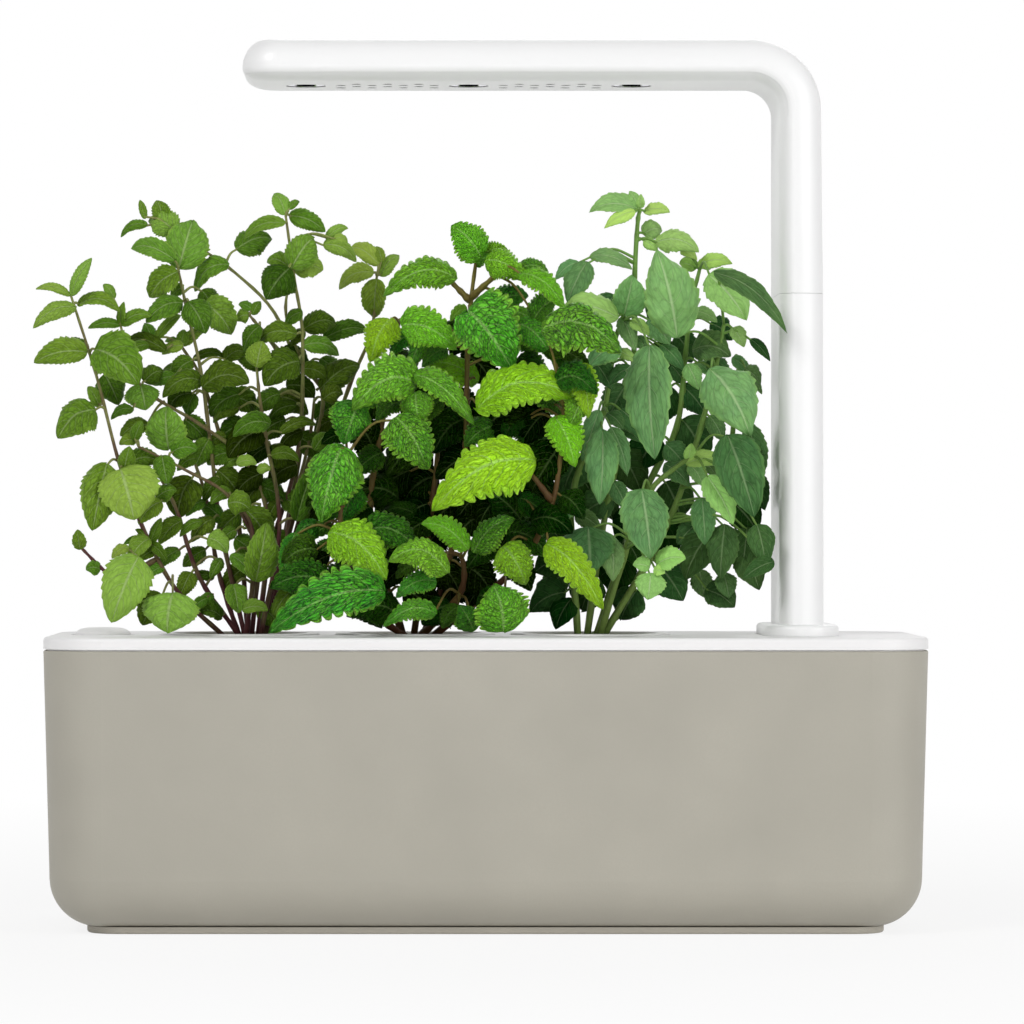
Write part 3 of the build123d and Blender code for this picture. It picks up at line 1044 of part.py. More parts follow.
MIDDLE_STEM_RADIUS = 1.2
MIDDLE_STEMS = [
    [(-22, -2, 100), (-12, -8, 130), (-7, -12, 165), (-6, -12, 200), (-5, -12, 217), (-3, -12, 233)],
    [(-24, -4, 100), (-9, -18, 116), (-8, -22, 129), (-14, -23, 131)],
    [(-20, -2, 100), (10, -20, 125), (22, -34, 145), (26, -36, 165), (27, -36, 182)],
    [(-28, 0, 100), (-40, -4, 140), (-36, -6, 175), (-30, -6, 212)],
    [(-26, -6, 100), (-40, -22, 112), (-50, -30, 135), (-48, -26, 165)],
    [(-25, 2, 100), (-18, 0, 150), (-14, -4, 195)],
    [(-5, -12, 219), (-12, -13, 226)],
    [(-5, -12, 220), (4, -18, 228)],
    [(23, -35, 149), (16, -38, 158)],
]
MIDDLE_LEAVES = [
    (-1, 234, -11.5, 245, 11.5, -14), (-1, 235, 8, 237, 5.5, -10), (0, 233, 14, 226, 9.5, -20),
    (12, 228, 28, 215, 7.5, -30), (10, 228, 22, 229, 6.5, -18), (-10, 228, -35, 221.5, 10, -14),
    (2, 216, 15, 221, 9.5, -8), (-6, 215, 9, 195, 20, -24), (19, 207, 46, 200, 18, -48),
    (17, 212, 25, 219, 8, -22), (-33, 213, -40, 198, 11, -10), (-29, 210, -10, 202, 12, -20),
    (-16, 206, -7, 210, 7, -4), (-25, 192, -46, 185, 14, -24), (-24, 188, -36, 198, 9, -12),
    (-24, 187, -23, 175, 10, -26), (-25, 193, -4, 176, 8, -26), (-2, 191, -20, 198, 9, -6),
    (-3, 181, 31, 185, 15, -32), (32, 196, 36, 178, 9, -36), (-44, 183, -49, 169, 13, -22),
    (-31, 178, -20, 160, 15, -30), (17, 163, -18, 147, 18, -44), (24, 178, 31, 161, 11, -36),
    (0, 172, 20, 184, 14, -16), (26, 168, 16, 152, 13, -26), (14, 140, 0, 152, 11, -16),
    (-50, 168, -57, 142, 17, -26), (-44, 154, -50, 141, 9.5, -16),
    (-54, 138, -34, 122, 15.5, -36), (-42, 138, -23, 132, 12, -24), (-57, 140, -67, 135, 8, -22),
    (-66, 138, -71, 121, 6, -26), (-54, 120, -74, 119, 12, -34), (-35, 118, -74, 104, 14, -46),
    (-30, 109.5, -48, 109, 11, -30), (-17, 110, -35, 106, 6.5, -42), (-17, 121, -31, 116, 7, -34),
    (-13, 124, -33, 129, 11, -40), (-6, 132, -22, 141, 7.5, -34), (-4, 131, 9, 143, 9, -34),
    (6, 133, 14, 120, 12, -38), (8, 138, 22, 130, 12, -24), (6, 104, 3, 120, 17, -48),
    (-4, 104, -9, 113, 8.5, -40), (-9, 112, -15, 105, 6, -30), (21, 134, 40, 112, 10.5, -44),
    (-20, 172, -34, 158, 14, 0), (-26, 160, -40, 148, 13, 2), (-16, 158, -30, 145, 14, 4),
    (-8, 150, -20, 136, 14, 4), (-2, 160, 10, 148, 14, 0), (2, 152, 16, 142, 12, -6),
    (-30, 150, -46, 152, 12, 0), (-38, 165, -46, 178, 11, -4), (-18, 190, -28, 178, 12, 2),
    (-14, 185, -2, 172, 13, 2), (-8, 200, 4, 188, 12, 0), (10, 196, 22, 188, 12, -14),
    (8, 160, 24, 152, 13, -12), (-36, 132, -52, 126, 13, -8), (-44, 124, -58, 112, 12, -14),
    (-28, 134, -40, 118, 13, -2), (-20, 128, -8, 116, 13, -4), (-8, 126, 4, 114, 13, -10),
    (-28, 118, -16, 107, 13, -8), (-44, 116, -36, 105, 12, -18), (-58, 124, -66, 110, 11, -28),
    (-2, 116, 8, 107, 12, -18), (9, 126, 16, 118, 9, -28), (16, 142, 30, 138, 11, -34),
    (26, 151, 34, 143, 9, -34), (-12, 113, -22, 106, 11, -14), (-50, 150, -62, 148, 10, -14),
    (-58, 132, -70, 128, 10, -30), (-34, 200, -24, 190, 11, -2), (0, 208, -12, 200, 11, 0),
    (24, 190, 38, 186, 10, -40), (10, 211, 23, 200, 11, -20), (2, 152, -10, 142, 13, -8),
    (-6, 178, -18, 166, 12, -6), (22, 180, 12, 168, 11, -12), (-18, 207, -26, 196, 9, -10),
    (-20, 148, -31, 139, 10, -2), (18, 186, 28, 177, 9, -20), (34, 187, 29, 174, 8, -34),
    (-28, 186, -44, 181, 8, -8), (8, 215, 18, 210, 6, -14), (-36, 166, -46, 158, 8, -8),
    (-52, 134, -60, 128, 6, -24), (-4, 164, -17, 157, 11, -10), (4, 175, -7, 168, 9, -18),
    (13, 154, 24, 145, 9, -18), (0, 144, -11, 135, 10, -10), (-18, 142, -30, 134, 9, -4),
    (5, 134, -6, 126, 9, -12), (21, 201, 36, 195, 7.5, -24), (-40, 147, -48, 140, 7, -14),
    (9, 206, 18, 199, 6, -16), (-26, 208, -33, 200, 6, -8), (-13, 202, -22, 196, 6, -14),
    (-28, 184, -38, 177, 7, -14), (-15, 185, -22, 175, 6, -20), (-24, 144, -34, 146, 6, -6),
    (12, 176, 18, 166, 7, -22), (-27, 124, -36, 118, 7, -16), (-54, 130, -62, 124, 6, -26),
    (-24, 126, -31, 122, 5, -20), (-3, 231, 2, 235, 3.5, -12), (-6, 216, -12, 212, 4, -12),
    (23, 200, 31, 194, 6, -28), (-53, 141, -60, 136, 5, -22), (4, 137, 12, 133, 5, -20),
    (-50, 146, -56, 142, 4.5, -20), (-49, 172, -57, 169, 5, -14),
]

RIGHT_STEM_RADIUS = 1.2
RIGHT_STEMS = [
    [(33, -2, 100), (31, 0, 150), (42, 0, 180), (46, -2, 205), (49, -4, 213)],
    [(36, 0, 100), (42, 4, 140), (52, 4, 190), (53, 0, 228), (54, -2, 247), (55, -2, 252)],
    [(39, 2, 100), (56, 6, 150), (68, 6, 175), (71, 4, 200), (73, 2, 218), (76, 0, 231)],
    [(41, 0, 100), (64, -4, 140), (76, -6, 175), (82, -8, 200), (84, -8, 211)],
    [(40, -3, 100), (52, -12, 140), (58, -16, 153), (67, -18, 161), (73, -18, 165)],
    [(37, 4, 100), (60, 14, 120), (84, 18, 150), (90, 18, 190), (91, 16, 200)],
]
RIGHT_LEAVES = [
    (54, 251.5, 37, 251, 7.5, -2), (53, 251, 42, 245, 4.5, -6), (56, 251, 65, 251, 4.5, 0),
    (55, 252, 55, 257, 3, -2), (56, 243, 63, 245, 6.5, 2), (60, 240, 75, 237, 8.5, -4),
    (36, 233, 29, 218.5, 9, -8), (33, 233, 25, 227, 5, -6), (37, 235, 52, 230.5, 5.5, -4),
    (49, 214, 52, 228, 10.5, -6), (47, 213, 25, 214, 10, -12), (67, 206, 60, 236, 17, -20),
    (78, 228, 91, 212, 13, -18), (75, 232, 87, 233, 5.5, 0), (75, 231, 69, 233, 5, 4),
    (79, 228, 104, 208, 5, -36), (74, 216, 82, 212, 4.5, -2), (87, 210, 91, 203, 5, -8),
    (93, 206, 100, 198, 3.5, -10), (88, 200, 95, 194, 4.5, 12), (94, 194, 99, 187, 3, 12),
    (73, 202, 86, 200, 12, -6), (62, 204, 70, 195, 5.5, -4), (51, 212, 58, 207, 4.5, -8),
    (47, 202, 53, 198, 4, -4), (57, 203, 58, 164, 15, -30), (78, 195, 92, 172, 18, -26),
    (84, 172, 93, 144, 15, -30), (41, 174, 40, 148, 10.5, -22), (44, 175, 50, 158, 6.5, -16),
    (40, 181, 34, 163, 6, -14), (36, 140, 37, 124, 18, -16), (44, 137, 45, 121, 8, -12),
    (54, 153, 57, 129, 15, -34), (77, 158, 86, 141, 9.5, -26), (70, 162, 84, 162, 5.5, -18),
    (71, 163, 72, 169, 4, -18), (59, 127, 69, 129, 8.5, -36), (57, 126, 51, 127, 5, -36),
    (58, 125, 62, 124, 4, -38), (57, 124, 56, 115, 9.5, -38), (46, 150, 34, 143, 11, 4),
    (30, 148, 25, 142, 6, -6), (29, 117, 16, 110, 11, 4), (31, 115, 25, 104, 8.5, 0),
    (30, 124, 21, 116, 9, 8), (76, 150, 77, 134, 8, -14), (84, 141, 82, 122, 10, -14),
    (80, 138, 70, 122, 12, -6), (75, 141, 68, 134, 7, -2), (94, 141, 97, 127, 8.5, -32),
    (100, 128, 89, 122, 5.5, -34), (92, 140, 90, 124, 8, -10), (84, 124, 86, 115, 7, -4),
    (76, 125, 78, 115, 7, 4), (93, 177, 99.5, 158, 7, 14), (60, 205, 66, 192, 12, 8),
    (66, 190, 60, 176, 12, 10), (70, 178, 78, 164, 13, 8), (62, 172, 54, 160, 12, 6),
    (50, 190, 44, 178, 11, 4), (48, 166, 56, 152, 12, 6), (34, 166, 28, 152, 12, 2),
    (38, 156, 46, 142, 12, 8), (64, 156, 70, 142, 13, 4), (56, 146, 48, 132, 13, 8),
    (66, 144, 60, 128, 13, 4), (72, 138, 82, 130, 12, 6), (50, 130, 44, 116, 13, 6),
    (62, 126, 70, 114, 12, 0), (82, 134, 92, 130, 11, 2), (88, 148, 96, 138, 11, -4),
    (90, 132, 96, 118, 10, -12), (70, 126, 62, 116, 11, 8), (78, 118, 88, 112, 10, -2),
    (54, 118, 48, 107, 11, 2), (40, 122, 34, 110, 12, 6), (28, 128, 18, 124, 9, 6),
    (36, 150, 24, 146, 10, 8), (86, 186, 94, 178, 10, 6), (90, 168, 98, 160, 8, 4),
    (80, 212, 88, 206, 8, 6), (64, 222, 58, 212, 9, 8), (46, 222, 40, 212, 8, 4),
    (68, 208, 74, 198, 9, 8), (92, 196, 98, 190, 6, 6), (88, 158, 98, 152, 8, 8),
    (48, 203, 36, 196, 9, -10), (52, 196, 44, 190, 6, -8), (58, 213, 65, 204, 8, -6),
    (64, 169, 71, 161, 8, 0), (71, 197, 75, 188, 6, -10), (72, 162, 77, 154, 6, -8),
    (79, 179, 84, 170, 6, -6), (50, 135, 55, 126, 7, 0), (70, 190, 79, 179, 9, 6),
    (48, 214, 53, 202, 6, -4), (48, 181, 56, 171, 8, -6), (38, 199, 45, 188, 7, -4),
    (94, 160, 100, 146, 8, 10), (63, 162, 72, 154, 7, -6), (32, 145, 41, 139, 6, -4),
    (45, 156, 50, 146, 6, -8), (79, 200, 86, 190, 7, -2), (53, 207, 58, 201, 4.5, -2),
    (56, 241, 61, 237, 4, -2), (66, 197, 71, 190, 5.5, 4), (43, 180, 49, 174, 5, -8),
    (54, 253, 51, 258, 3.5, -2), (69, 237, 75, 234, 3.5, 0), (75, 198, 80, 193, 4, 0),
    (77, 163, 82, 157, 4.5, 0), (48, 174, 55, 170, 4.5, -2),
]

LEAF_THICKNESS = 0.8
LEAF_LEAN = 0.25
LEAF_UPTURN = 0.35
LEAF_WIDEST = 0.42
PETIOLE_RADIUS = 0.5
STEM_TIP_SHARE = 0.5
JOINT_OVERLAP = 0.4
PLANT_GAP = 0.5

# The plants are kept apart by two upright planes, which cross y = 0 at LEFT_SPLIT_X and
# RIGHT_SPLIT_X and run towards each other to the back. The middle plant stands between
# them, in front.
LEFT_SPLIT_X = -52.0
RIGHT_SPLIT_X = 10.0
SPLIT_SLOPE = 0.8


def left_depth(x, half_width, y):
    """Depth of a point of the left plant, moved behind the left splitting plane."""
    return max(y, (x + half_width + PLANT_GAP - LEFT_SPLIT_X) / SPLIT_SLOPE)


def middle_depth(x, half_width, y):
    """Depth of a point of the middle plant, moved in front of both splitting planes."""
    reach = half_width + PLANT_GAP
    return min(y, (x - reach - LEFT_SPLIT_X) / SPLIT_SLOPE, (RIGHT_SPLIT_X - x - reach) / SPLIT_SLOPE)


def right_depth(x, half_width, y):
    """Depth of a point of the right plant, moved behind the right splitting plane."""
    return max(y, (RIGHT_SPLIT_X - x + half_width + PLANT_GAP) / SPLIT_SLOPE)


def rod(start, end, start_radius, end_radius):
    """Straight tapered rod that runs a little past its end."""
    run = end - start
    with BuildPart() as piece:
        with Locations(Plane(origin=start, z_dir=run).location):
            Cone(
                start_radius,
                end_radius,
                run.length + JOINT_OVERLAP,
                align=(Align.CENTER, Align.CENTER, Align.MIN),
            )
    return piece.part.solid()


def blade(base, tip, width):
    """Pointed oval leaf blade of even thickness that faces the front."""
    spine = tip - base
    along = spine.normalized()
    facing = Vector(0, -1, LEAF_UPTURN)
    normal = facing - along * facing.dot(along)
    widest = LEAF_WIDEST * spine.length
    with BuildPart() as leaf:
        with BuildSketch(Plane(origin=base, x_dir=along, z_dir=normal)):
            with BuildLine():
                ThreePointArc((0, 0), (widest, width / 2), (spine.length, 0))
                ThreePointArc((spine.length, 0), (widest, -width / 2), (0, 0))
            make_face()
        extrude(amount=LEAF_THICKNESS / 2, both=True)
    return leaf.part.solid()


def stem_rods(routes, radius):
    """Stems of one plant, each a chain of rods that thins towards its tip."""
    rods = []
    for route in routes:
        points = [Vector(*point) for point in route]
        radii = [
            radius * (1 - (1 - STEM_TIP_SHARE) * i / (len(points) - 1)) for i in range(len(points))
        ]
        rods += [
            rod(points[i], points[i + 1], radii[i], radii[i + 1]) for i in range(len(points) - 1)
        ]
    return rods


def stem_touch(routes, spot):
    """Point of the stems that is nearest to a spot."""
    best_gap = None
    for route in routes:
        for low, high in zip(route, route[1:]):
            low = Vector(*low)
            run = Vector(*high) - low
            share = min(1.0, max(0.0, (spot - low).dot(run) / run.dot(run)))
            touch = low + run * share
            gap = (spot - touch).length
            if best_gap is None or gap < best_gap:
                best_gap = gap
                nearest = touch
    return nearest


def leaf_solids(rows, routes, depth):
    """Blades of one plant and the stalks that carry them."""
    solids = []
    for base_x, base_z, tip_x, tip_z, width, y in rows:
        length = Vector(tip_x - base_x, 0, tip_z - base_z).length
        lean = LEAF_LEAN * length if y > 0 else -LEAF_LEAN * length
        base = Vector(base_x, depth(base_x, width / 2, y), base_z)
        tip = Vector(tip_x, depth(tip_x, width / 2, base.Y + lean), tip_z)
        solids.append(blade(base, tip, width))
        touch = stem_touch(routes, base)
        if (base - touch).length > 2 * PETIOLE_RADIUS:
            solids.append(rod(touch, base, PETIOLE_RADIUS, PETIOLE_RADIUS / 2))
    return solids


PLANTS = (
    (LEFT_STEMS, LEFT_STEM_RADIUS, LEFT_LEAVES, left_depth),
    (MIDDLE_STEMS, MIDDLE_STEM_RADIUS, MIDDLE_LEAVES, middle_depth),
    (RIGHT_STEMS, RIGHT_STEM_RADIUS, RIGHT_LEAVES, right_depth),
)

for number, (routes, radius, rows, depth) in enumerate(PLANTS, 1):
    stems = Compound(label=f"stems_{number}", children=stem_rods(routes, radius))
    export_step(stems, f"parts/stems_{number}.step")
    leaves = Compound(label=f"leaves_{number}", children=leaf_solids(rows, routes, depth))
    export_step(leaves, f"parts/leaves_{number}.step")
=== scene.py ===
"""Looks of the countertop hydroponic garden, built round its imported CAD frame."""
import math
import random
from types import SimpleNamespace

import bpy
import numpy as np
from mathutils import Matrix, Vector, noise


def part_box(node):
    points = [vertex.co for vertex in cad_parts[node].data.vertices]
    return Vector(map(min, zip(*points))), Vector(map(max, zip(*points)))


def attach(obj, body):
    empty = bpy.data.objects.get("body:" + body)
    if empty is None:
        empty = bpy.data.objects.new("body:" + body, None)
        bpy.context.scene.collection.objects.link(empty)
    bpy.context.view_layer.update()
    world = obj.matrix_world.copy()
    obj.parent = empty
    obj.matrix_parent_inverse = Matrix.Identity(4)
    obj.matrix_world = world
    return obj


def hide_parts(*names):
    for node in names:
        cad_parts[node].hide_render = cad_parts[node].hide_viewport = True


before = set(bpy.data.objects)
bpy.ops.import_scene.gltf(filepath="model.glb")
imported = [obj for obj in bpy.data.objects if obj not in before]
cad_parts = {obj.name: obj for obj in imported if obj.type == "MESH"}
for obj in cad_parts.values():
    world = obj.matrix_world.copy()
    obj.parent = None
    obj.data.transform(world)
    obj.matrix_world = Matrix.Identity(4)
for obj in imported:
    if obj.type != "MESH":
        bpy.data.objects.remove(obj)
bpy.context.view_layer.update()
MM = 0.001


# ---- Shader helpers


def linear(red, green, blue):
    """Linear colour of an sRGB colour given from 0 to 255."""
    return tuple((c / 12.92 if c <= 0.04045 else ((c + 0.055) / 1.055) ** 2.4)
                 for c in (red / 255, green / 255, blue / 255)) + (1.0,)


def scaled(colour, factor):
    """A linear colour made darker or brighter."""
    return tuple(min(1.0, c * factor) for c in colour[:3]) + (1.0,)


class Nodes:
    """A node tree with short calls that add and link its nodes."""

    def __init__(self, tree):
        self.tree = tree

    def node(self, kind, inputs=(), **settings):
        """Adds a node, with its settings and its inputs as values or links."""
        node = self.tree.nodes.new("ShaderNode" + kind)
        for key, value in settings.items():
            setattr(node, key, value)
        for key, value in dict(inputs).items():
            if isinstance(value, bpy.types.NodeSocket):
                self.tree.links.new(value, node.inputs[key])
            else:
                node.inputs[key].default_value = value
        return node

    def math(self, operation, first, second=0.0, third=0.0, clamp=False):
        inputs = {0: first, 1: second, 2: third}
        return self.node("Math", inputs, operation=operation, use_clamp=clamp).outputs[0]

    def times(self, first, *others):
        for other in others:
            first = self.math("MULTIPLY", first, other)
        return first

    def span(self, value, low, high, new_low=0.0, new_high=1.0):
        inputs = {"Value": value, "From Min": low, "From Max": high, "To Min": new_low, "To Max": new_high}
        return self.node("MapRange", inputs).outputs["Result"]

    def seen(self):
        """1 for what the camera sees, also by a mirror or through glass, and 0 for light."""
        ray = self.node("LightPath").outputs
        direct = self.math("MAXIMUM", ray["Is Camera Ray"], ray["Is Glossy Ray"])
        return self.math("MAXIMUM", direct, ray["Is Transmission Ray"])


class Shader(Nodes):
    """One node material, with short calls for its textures and its surface."""

    def __init__(self, name, **constants):
        self.material = bpy.data.materials.new(name)
        self.material.use_nodes = True
        super().__init__(self.material.node_tree)
        self.surface = self.tree.nodes["Principled BSDF"]
        for socket, value in constants.items():
            self.surface.inputs[socket.replace("_", " ")].default_value = value
        self.place = self.node("TexCoord").outputs["Object"]

    def stretched(self, factors):
        """Places scaled by a factor on each axis."""
        return self.node("Mapping", {"Vector": self.place, "Scale": factors}).outputs["Vector"]

    def noise(self, scale, detail=3.0, roughness=0.55, at=None):
        vector = self.place if at is None else at
        inputs = {"Vector": vector, "Scale": scale, "Detail": detail, "Roughness": roughness}
        return self.node("TexNoise", inputs).outputs["Fac"]

    def mix(self, share, first, second):
        return self.node("Mix", {0: share, 6: first, 7: second}, data_type="RGBA").outputs[2]

    def attribute(self, name):
        return self.node("Attribute", attribute_name=name).outputs["Fac"]

    def feed(self, socket, value):
        """Links a value to an input of the surface."""
        self.tree.links.new(value, self.surface.inputs[socket])

    def bump(self, height, strength, distance, below=None):
        """Bump of a height, on top of another bump's normal; it becomes the surface's normal."""
        inputs = {"Height": height, "Strength": strength, "Distance": distance}
        if below is not None:
            inputs["Normal"] = below
        normal = self.node("Bump", inputs).outputs["Normal"]
        self.feed("Normal", normal)
        return normal


# ---- Materials

SCUFFS = 0.04
# The lamp cover's holes, whose walls get painted shade, are above a level, within a half depth and past an X,
# in m
HOLES_Z, HOLES_Y, HOLES_X = 0.29525, 0.0195, -0.0745
HOLE_EDGE = 0.0003
# The power by which veins curve on their way to the rim, in the leaf skin and in the blades
VEIN_CURVE = 1.3


def moulded_plastic(name, colour, roughness, grain=0.25, tint=0.05, holes=False, **constants):
    """Moulded plastic: fine erosion grain, faint cloudiness and a few soft scuffs. With holes, the walls of
    the lamp cover's holes get painted shade, a dark grey."""
    shader = Shader(name, **constants)
    cloud = shader.noise(22.0, 2.0)
    speck = shader.noise(1500.0, 2.0)
    deep = scaled(colour, 1 - tint)
    base = shader.mix(shader.span(cloud, 0.3, 0.7), deep, scaled(colour, 1 + tint))
    if holes:
        # Painted shade: the walls of the lamp cover's holes are darkened to a dark grey
        x, y, z = shader.node("SeparateXYZ", {0: shader.place}).outputs
        hole_wall_shade = shader.times(shader.span(shader.math("ABSOLUTE", y), HOLES_Y + HOLE_EDGE, HOLES_Y),
                              shader.span(x, HOLES_X, HOLES_X + HOLE_EDGE),
                              shader.span(z, HOLES_Z, HOLES_Z + HOLE_EDGE / 3))
        base = shader.mix(hole_wall_shade, base, linear(70, 70, 72))
    shader.feed("Base Color", shader.mix(shader.span(speck, 0.35, 0.65, 0.0, 0.25), base, deep))
    smear = shader.noise(60.0, 4.0, 0.7)
    shader.feed("Roughness", shader.span(smear, 0.3, 0.75, roughness - SCUFFS, roughness + SCUFFS))
    below = shader.bump(cloud, 0.04, 0.002)
    shader.bump(speck, grain, 0.00008, below)
    return shader.material


def metal(name, colour, roughness, brushed=(1.0, 1.0, 1.0)):
    """Metal with a directional brushing and small colour variation."""
    shader = Shader(name, Metallic=1.0)
    lines = shader.noise(900.0, at=shader.stretched(brushed))
    shader.feed("Base Color", shader.mix(lines, scaled(colour, 0.85), colour))
    shader.feed("Roughness", shader.span(lines, 0.3, 0.7, roughness * 0.8, roughness * 1.25))
    shader.bump(lines, 0.15, 0.00005)
    return shader.material


def fibrous(name, dark, light, scale, depth):
    """Loose fibrous stuff: felt, peat or foam, from two noises."""
    shader = Shader(name, Roughness=0.95)
    lumps = shader.noise(scale, 6.0, 0.7)
    grains = shader.node("TexVoronoi", {"Vector": shader.place, "Scale": scale * 2.2}).outputs["Distance"]
    shader.feed("Base Color", shader.mix(shader.span(lumps, 0.3, 0.7), dark, light))
    below = shader.bump(grains, 0.6, depth)
    shader.bump(lumps, 0.8, depth, below)
    return shader.material


def circuit(name, mask, trace_colour):
    """Solder-masked circuit board with faint traces."""
    shader = Shader(name, Roughness=0.35, Coat_Weight=0.2)
    inputs = {"Vector": shader.place, "Scale": 160.0, "Distortion": 6.0, "Detail": 2.0}
    trace = shader.span(shader.node("TexWave", inputs).outputs["Fac"], 0.86, 0.9)
    shader.feed("Base Color", shader.mix(shader.times(trace, 0.35), mask, trace_colour))
    shader.bump(trace, 0.2, 0.00005)
    return shader.material


def led_lens(name):
    """Dark phosphor lens of an unlit LED."""
    shader = Shader(name, Roughness=0.5, Specular_IOR_Level=0.0)
    cells = shader.node("TexVoronoi", {"Vector": shader.place, "Scale": 1400.0}).outputs["Distance"]
    share = shader.span(cells, 0.0, 0.6)
    shader.feed("Base Color", shader.mix(share, linear(26, 26, 32), linear(14, 14, 18)))
    shader.bump(cells, 0.1, 0.00005)
    return shader.material


def leaf_material(name, habit, tones, rim, underside, vein_width, vein_share, cells, relief, groove,
                  dome_light, gloss, shine):
    """Leaf skin: a green picked by each leaf's tone, which is partly the leaf's own green and partly painted
    light and shade for where it sits in the plant, paler veins and rows of bulging cells that follow the
    blade, painted light on the cells and fine wrinkles, painted shade in the grooves between the cells,
    painted glints, a lighter rim and a paler underside."""
    shader = Shader(name)
    calc, mix, span, times = shader.math, shader.mix, shader.span, shader.times
    dark, middle, light, rim, underside = (linear(*colour) for colour in (*tones, rim, underside))
    blade = shader.node("UVMap", uv_map="blade").outputs[0]
    along, across, _ = shader.node("SeparateXYZ", {0: blade}).outputs
    half = calc("SUBTRACT", across, 0.5)
    side = times(calc("ABSOLUTE", half), 2.0)
    tone = shader.attribute("tone")
    tint = shader.attribute("hue")
    # Lateral veins and the midrib
    reach = times(calc("POWER", side, VEIN_CURVE), habit.slant)
    wobble = span(shader.noise(160.0, 2.0), 0.3, 0.7, -0.07, 0.07)
    phase = calc("ADD", times(calc("SUBTRACT", along, reach), habit.veins), wobble)
    ridge = times(calc("ABSOLUTE", calc("SUBTRACT", calc("FRACT", phase), 0.5)), 2.0)
    lateral = times(span(ridge, 1.0 - vein_width, 1.0), span(side, 1.0, 0.6))
    veined = calc("MAXIMUM", lateral, span(side, 0.07, 0.02), clamp=True)
    # Rows of cells between the veins, with smaller ones inside
    lobe = calc("ADD", times(tint, 40.0), calc("SIGN", half))
    inputs = {0: times(phase, cells), 1: lobe, 2: times(side, cells * 2.6)}
    rows = shader.node("CombineXYZ", inputs).outputs[0]
    warp = shader.node("TexNoise", {"Vector": rows, "Scale": 1.1, "Detail": 3.0}).outputs["Color"]
    bent = shader.node("VectorMath", {0: warp, 3: 0.75}, operation="SCALE").outputs[0]
    bent = shader.node("VectorMath", {0: rows, 1: bent}, operation="ADD").outputs[0]
    edge, fine = (shader.node("TexVoronoi", {"Vector": bent, "Scale": scale}, feature="DISTANCE_TO_EDGE")
                  .outputs[0] for scale in (1.0, 2.6))
    dome = calc("POWER", span(edge, 0.0, 0.36), 0.6)
    net = span(edge, 0.0, 0.09, 1.0, 0.0)
    small = span(fine, 0.0, 0.16, 1.0, 0.0)
    wrinkle = shader.noise(3.4, 4.0, 0.65, at=bent)
    # Green of the tone, with patches, then painted light and shade on the relief: lighter cell domes and
    # wrinkles, darker grooves
    # The tone is partly the leaf's own green and partly painted shade on leaves deep in the plant and painted
    # light on lit ones
    green = mix(span(tone, 0.08, 0.5), dark, middle)
    green = mix(span(tone, 0.5, 1.0), green, light)
    patch = span(shader.noise(110.0, 4.0, 0.6), 0.35, 0.7)
    green = mix(times(patch, span(tone, 0.1, 0.6, 0.05, 0.3)), green, rim)
    painted_relief_swing = span(tone, 0.4, 0.9, dome_light, dome_light * 0.4)
    value = calc("MULTIPLY_ADD", span(dome, 0.0, 1.0, -1.0, 1.0), painted_relief_swing, 1.0)
    # Painted shade in the grooves between the cells
    lines = calc("ADD", net, times(small, 0.35))
    value = calc("SUBTRACT", value, times(span(tone, 0.3, 0.9, groove, groove * 0.12), lines))
    grain = calc("MULTIPLY_ADD", span(wrinkle, 0.3, 0.7, -1.0, 1.0), painted_relief_swing, 1.0)
    inputs = {"Color": green, "Hue": span(tint, 0.0, 1.0, 0.482, 0.518), "Value": times(value, grain)}
    green = shader.node("HueSaturation", inputs).outputs[0]
    # Rim, veins, painted glints and underside
    lit = span(tone, 0.1, 0.6)
    green = mix(times(span(side, 0.84, 0.97, 0.0, 0.6), lit), green, rim)
    pale = mix(0.7, green, underside)
    green = mix(times(veined, span(lit, 0.0, 1.0, vein_share * 0.3, vein_share)), green, pale)
    # Painted glints: pale specks of the underside's colour on the wrinkles' crests
    glint = times(span(wrinkle, 0.58, 0.68), span(edge, 0.1, 0.3))
    green = mix(times(glint, span(tone, 0.05, 0.5, groove * 0.06, groove * 0.9)), green, underside)
    shader.feed("Base Color", mix(times(shader.attribute("under"), 0.6), green, underside))
    # Gloss, weaker on the dark leaves inside the plant and on the palest ones
    shader.feed("Roughness", span(shader.noise(300.0), 0.3, 0.7, gloss, gloss + 0.16))
    mirror = times(span(tone, 0.1, 0.5, 0.0, shine), span(tone, 0.7, 0.95, 1.0, 0.4))
    shader.feed("Specular IOR Level", mirror)
    below = shader.bump(dome, relief, 0.0009)
    below = shader.bump(calc("SUBTRACT", wrinkle, times(small, 0.3)), relief, 0.0005, below)
    shader.bump(calc("SUBTRACT", 1.0, veined), 0.6, 0.0004, below)
    return shader.material


def stem_material(name, low, high):
    """Stem skin from its woody foot to its green tip, with fine lengthwise ridges."""
    shader = Shader(name, Roughness=0.55, Specular_IOR_Level=0.2)
    ridges = shader.noise(1400.0, 4.0, 0.6, at=shader.stretched((1.0, 1.0, 0.12)))
    patches = shader.span(shader.noise(90.0), 0.35, 0.65, -0.22, 0.22)
    share = shader.math("ADD", shader.attribute("tone"), patches, clamp=True)
    shade = shader.span(ridges, 0.55, 0.3, 0.0, 0.5)
    shader.feed("Base Color", shader.mix(shade, shader.mix(share, low, high), scaled(low, 0.6)))
    shader.bump(ridges, 0.5, 0.0002)
    return shader.material


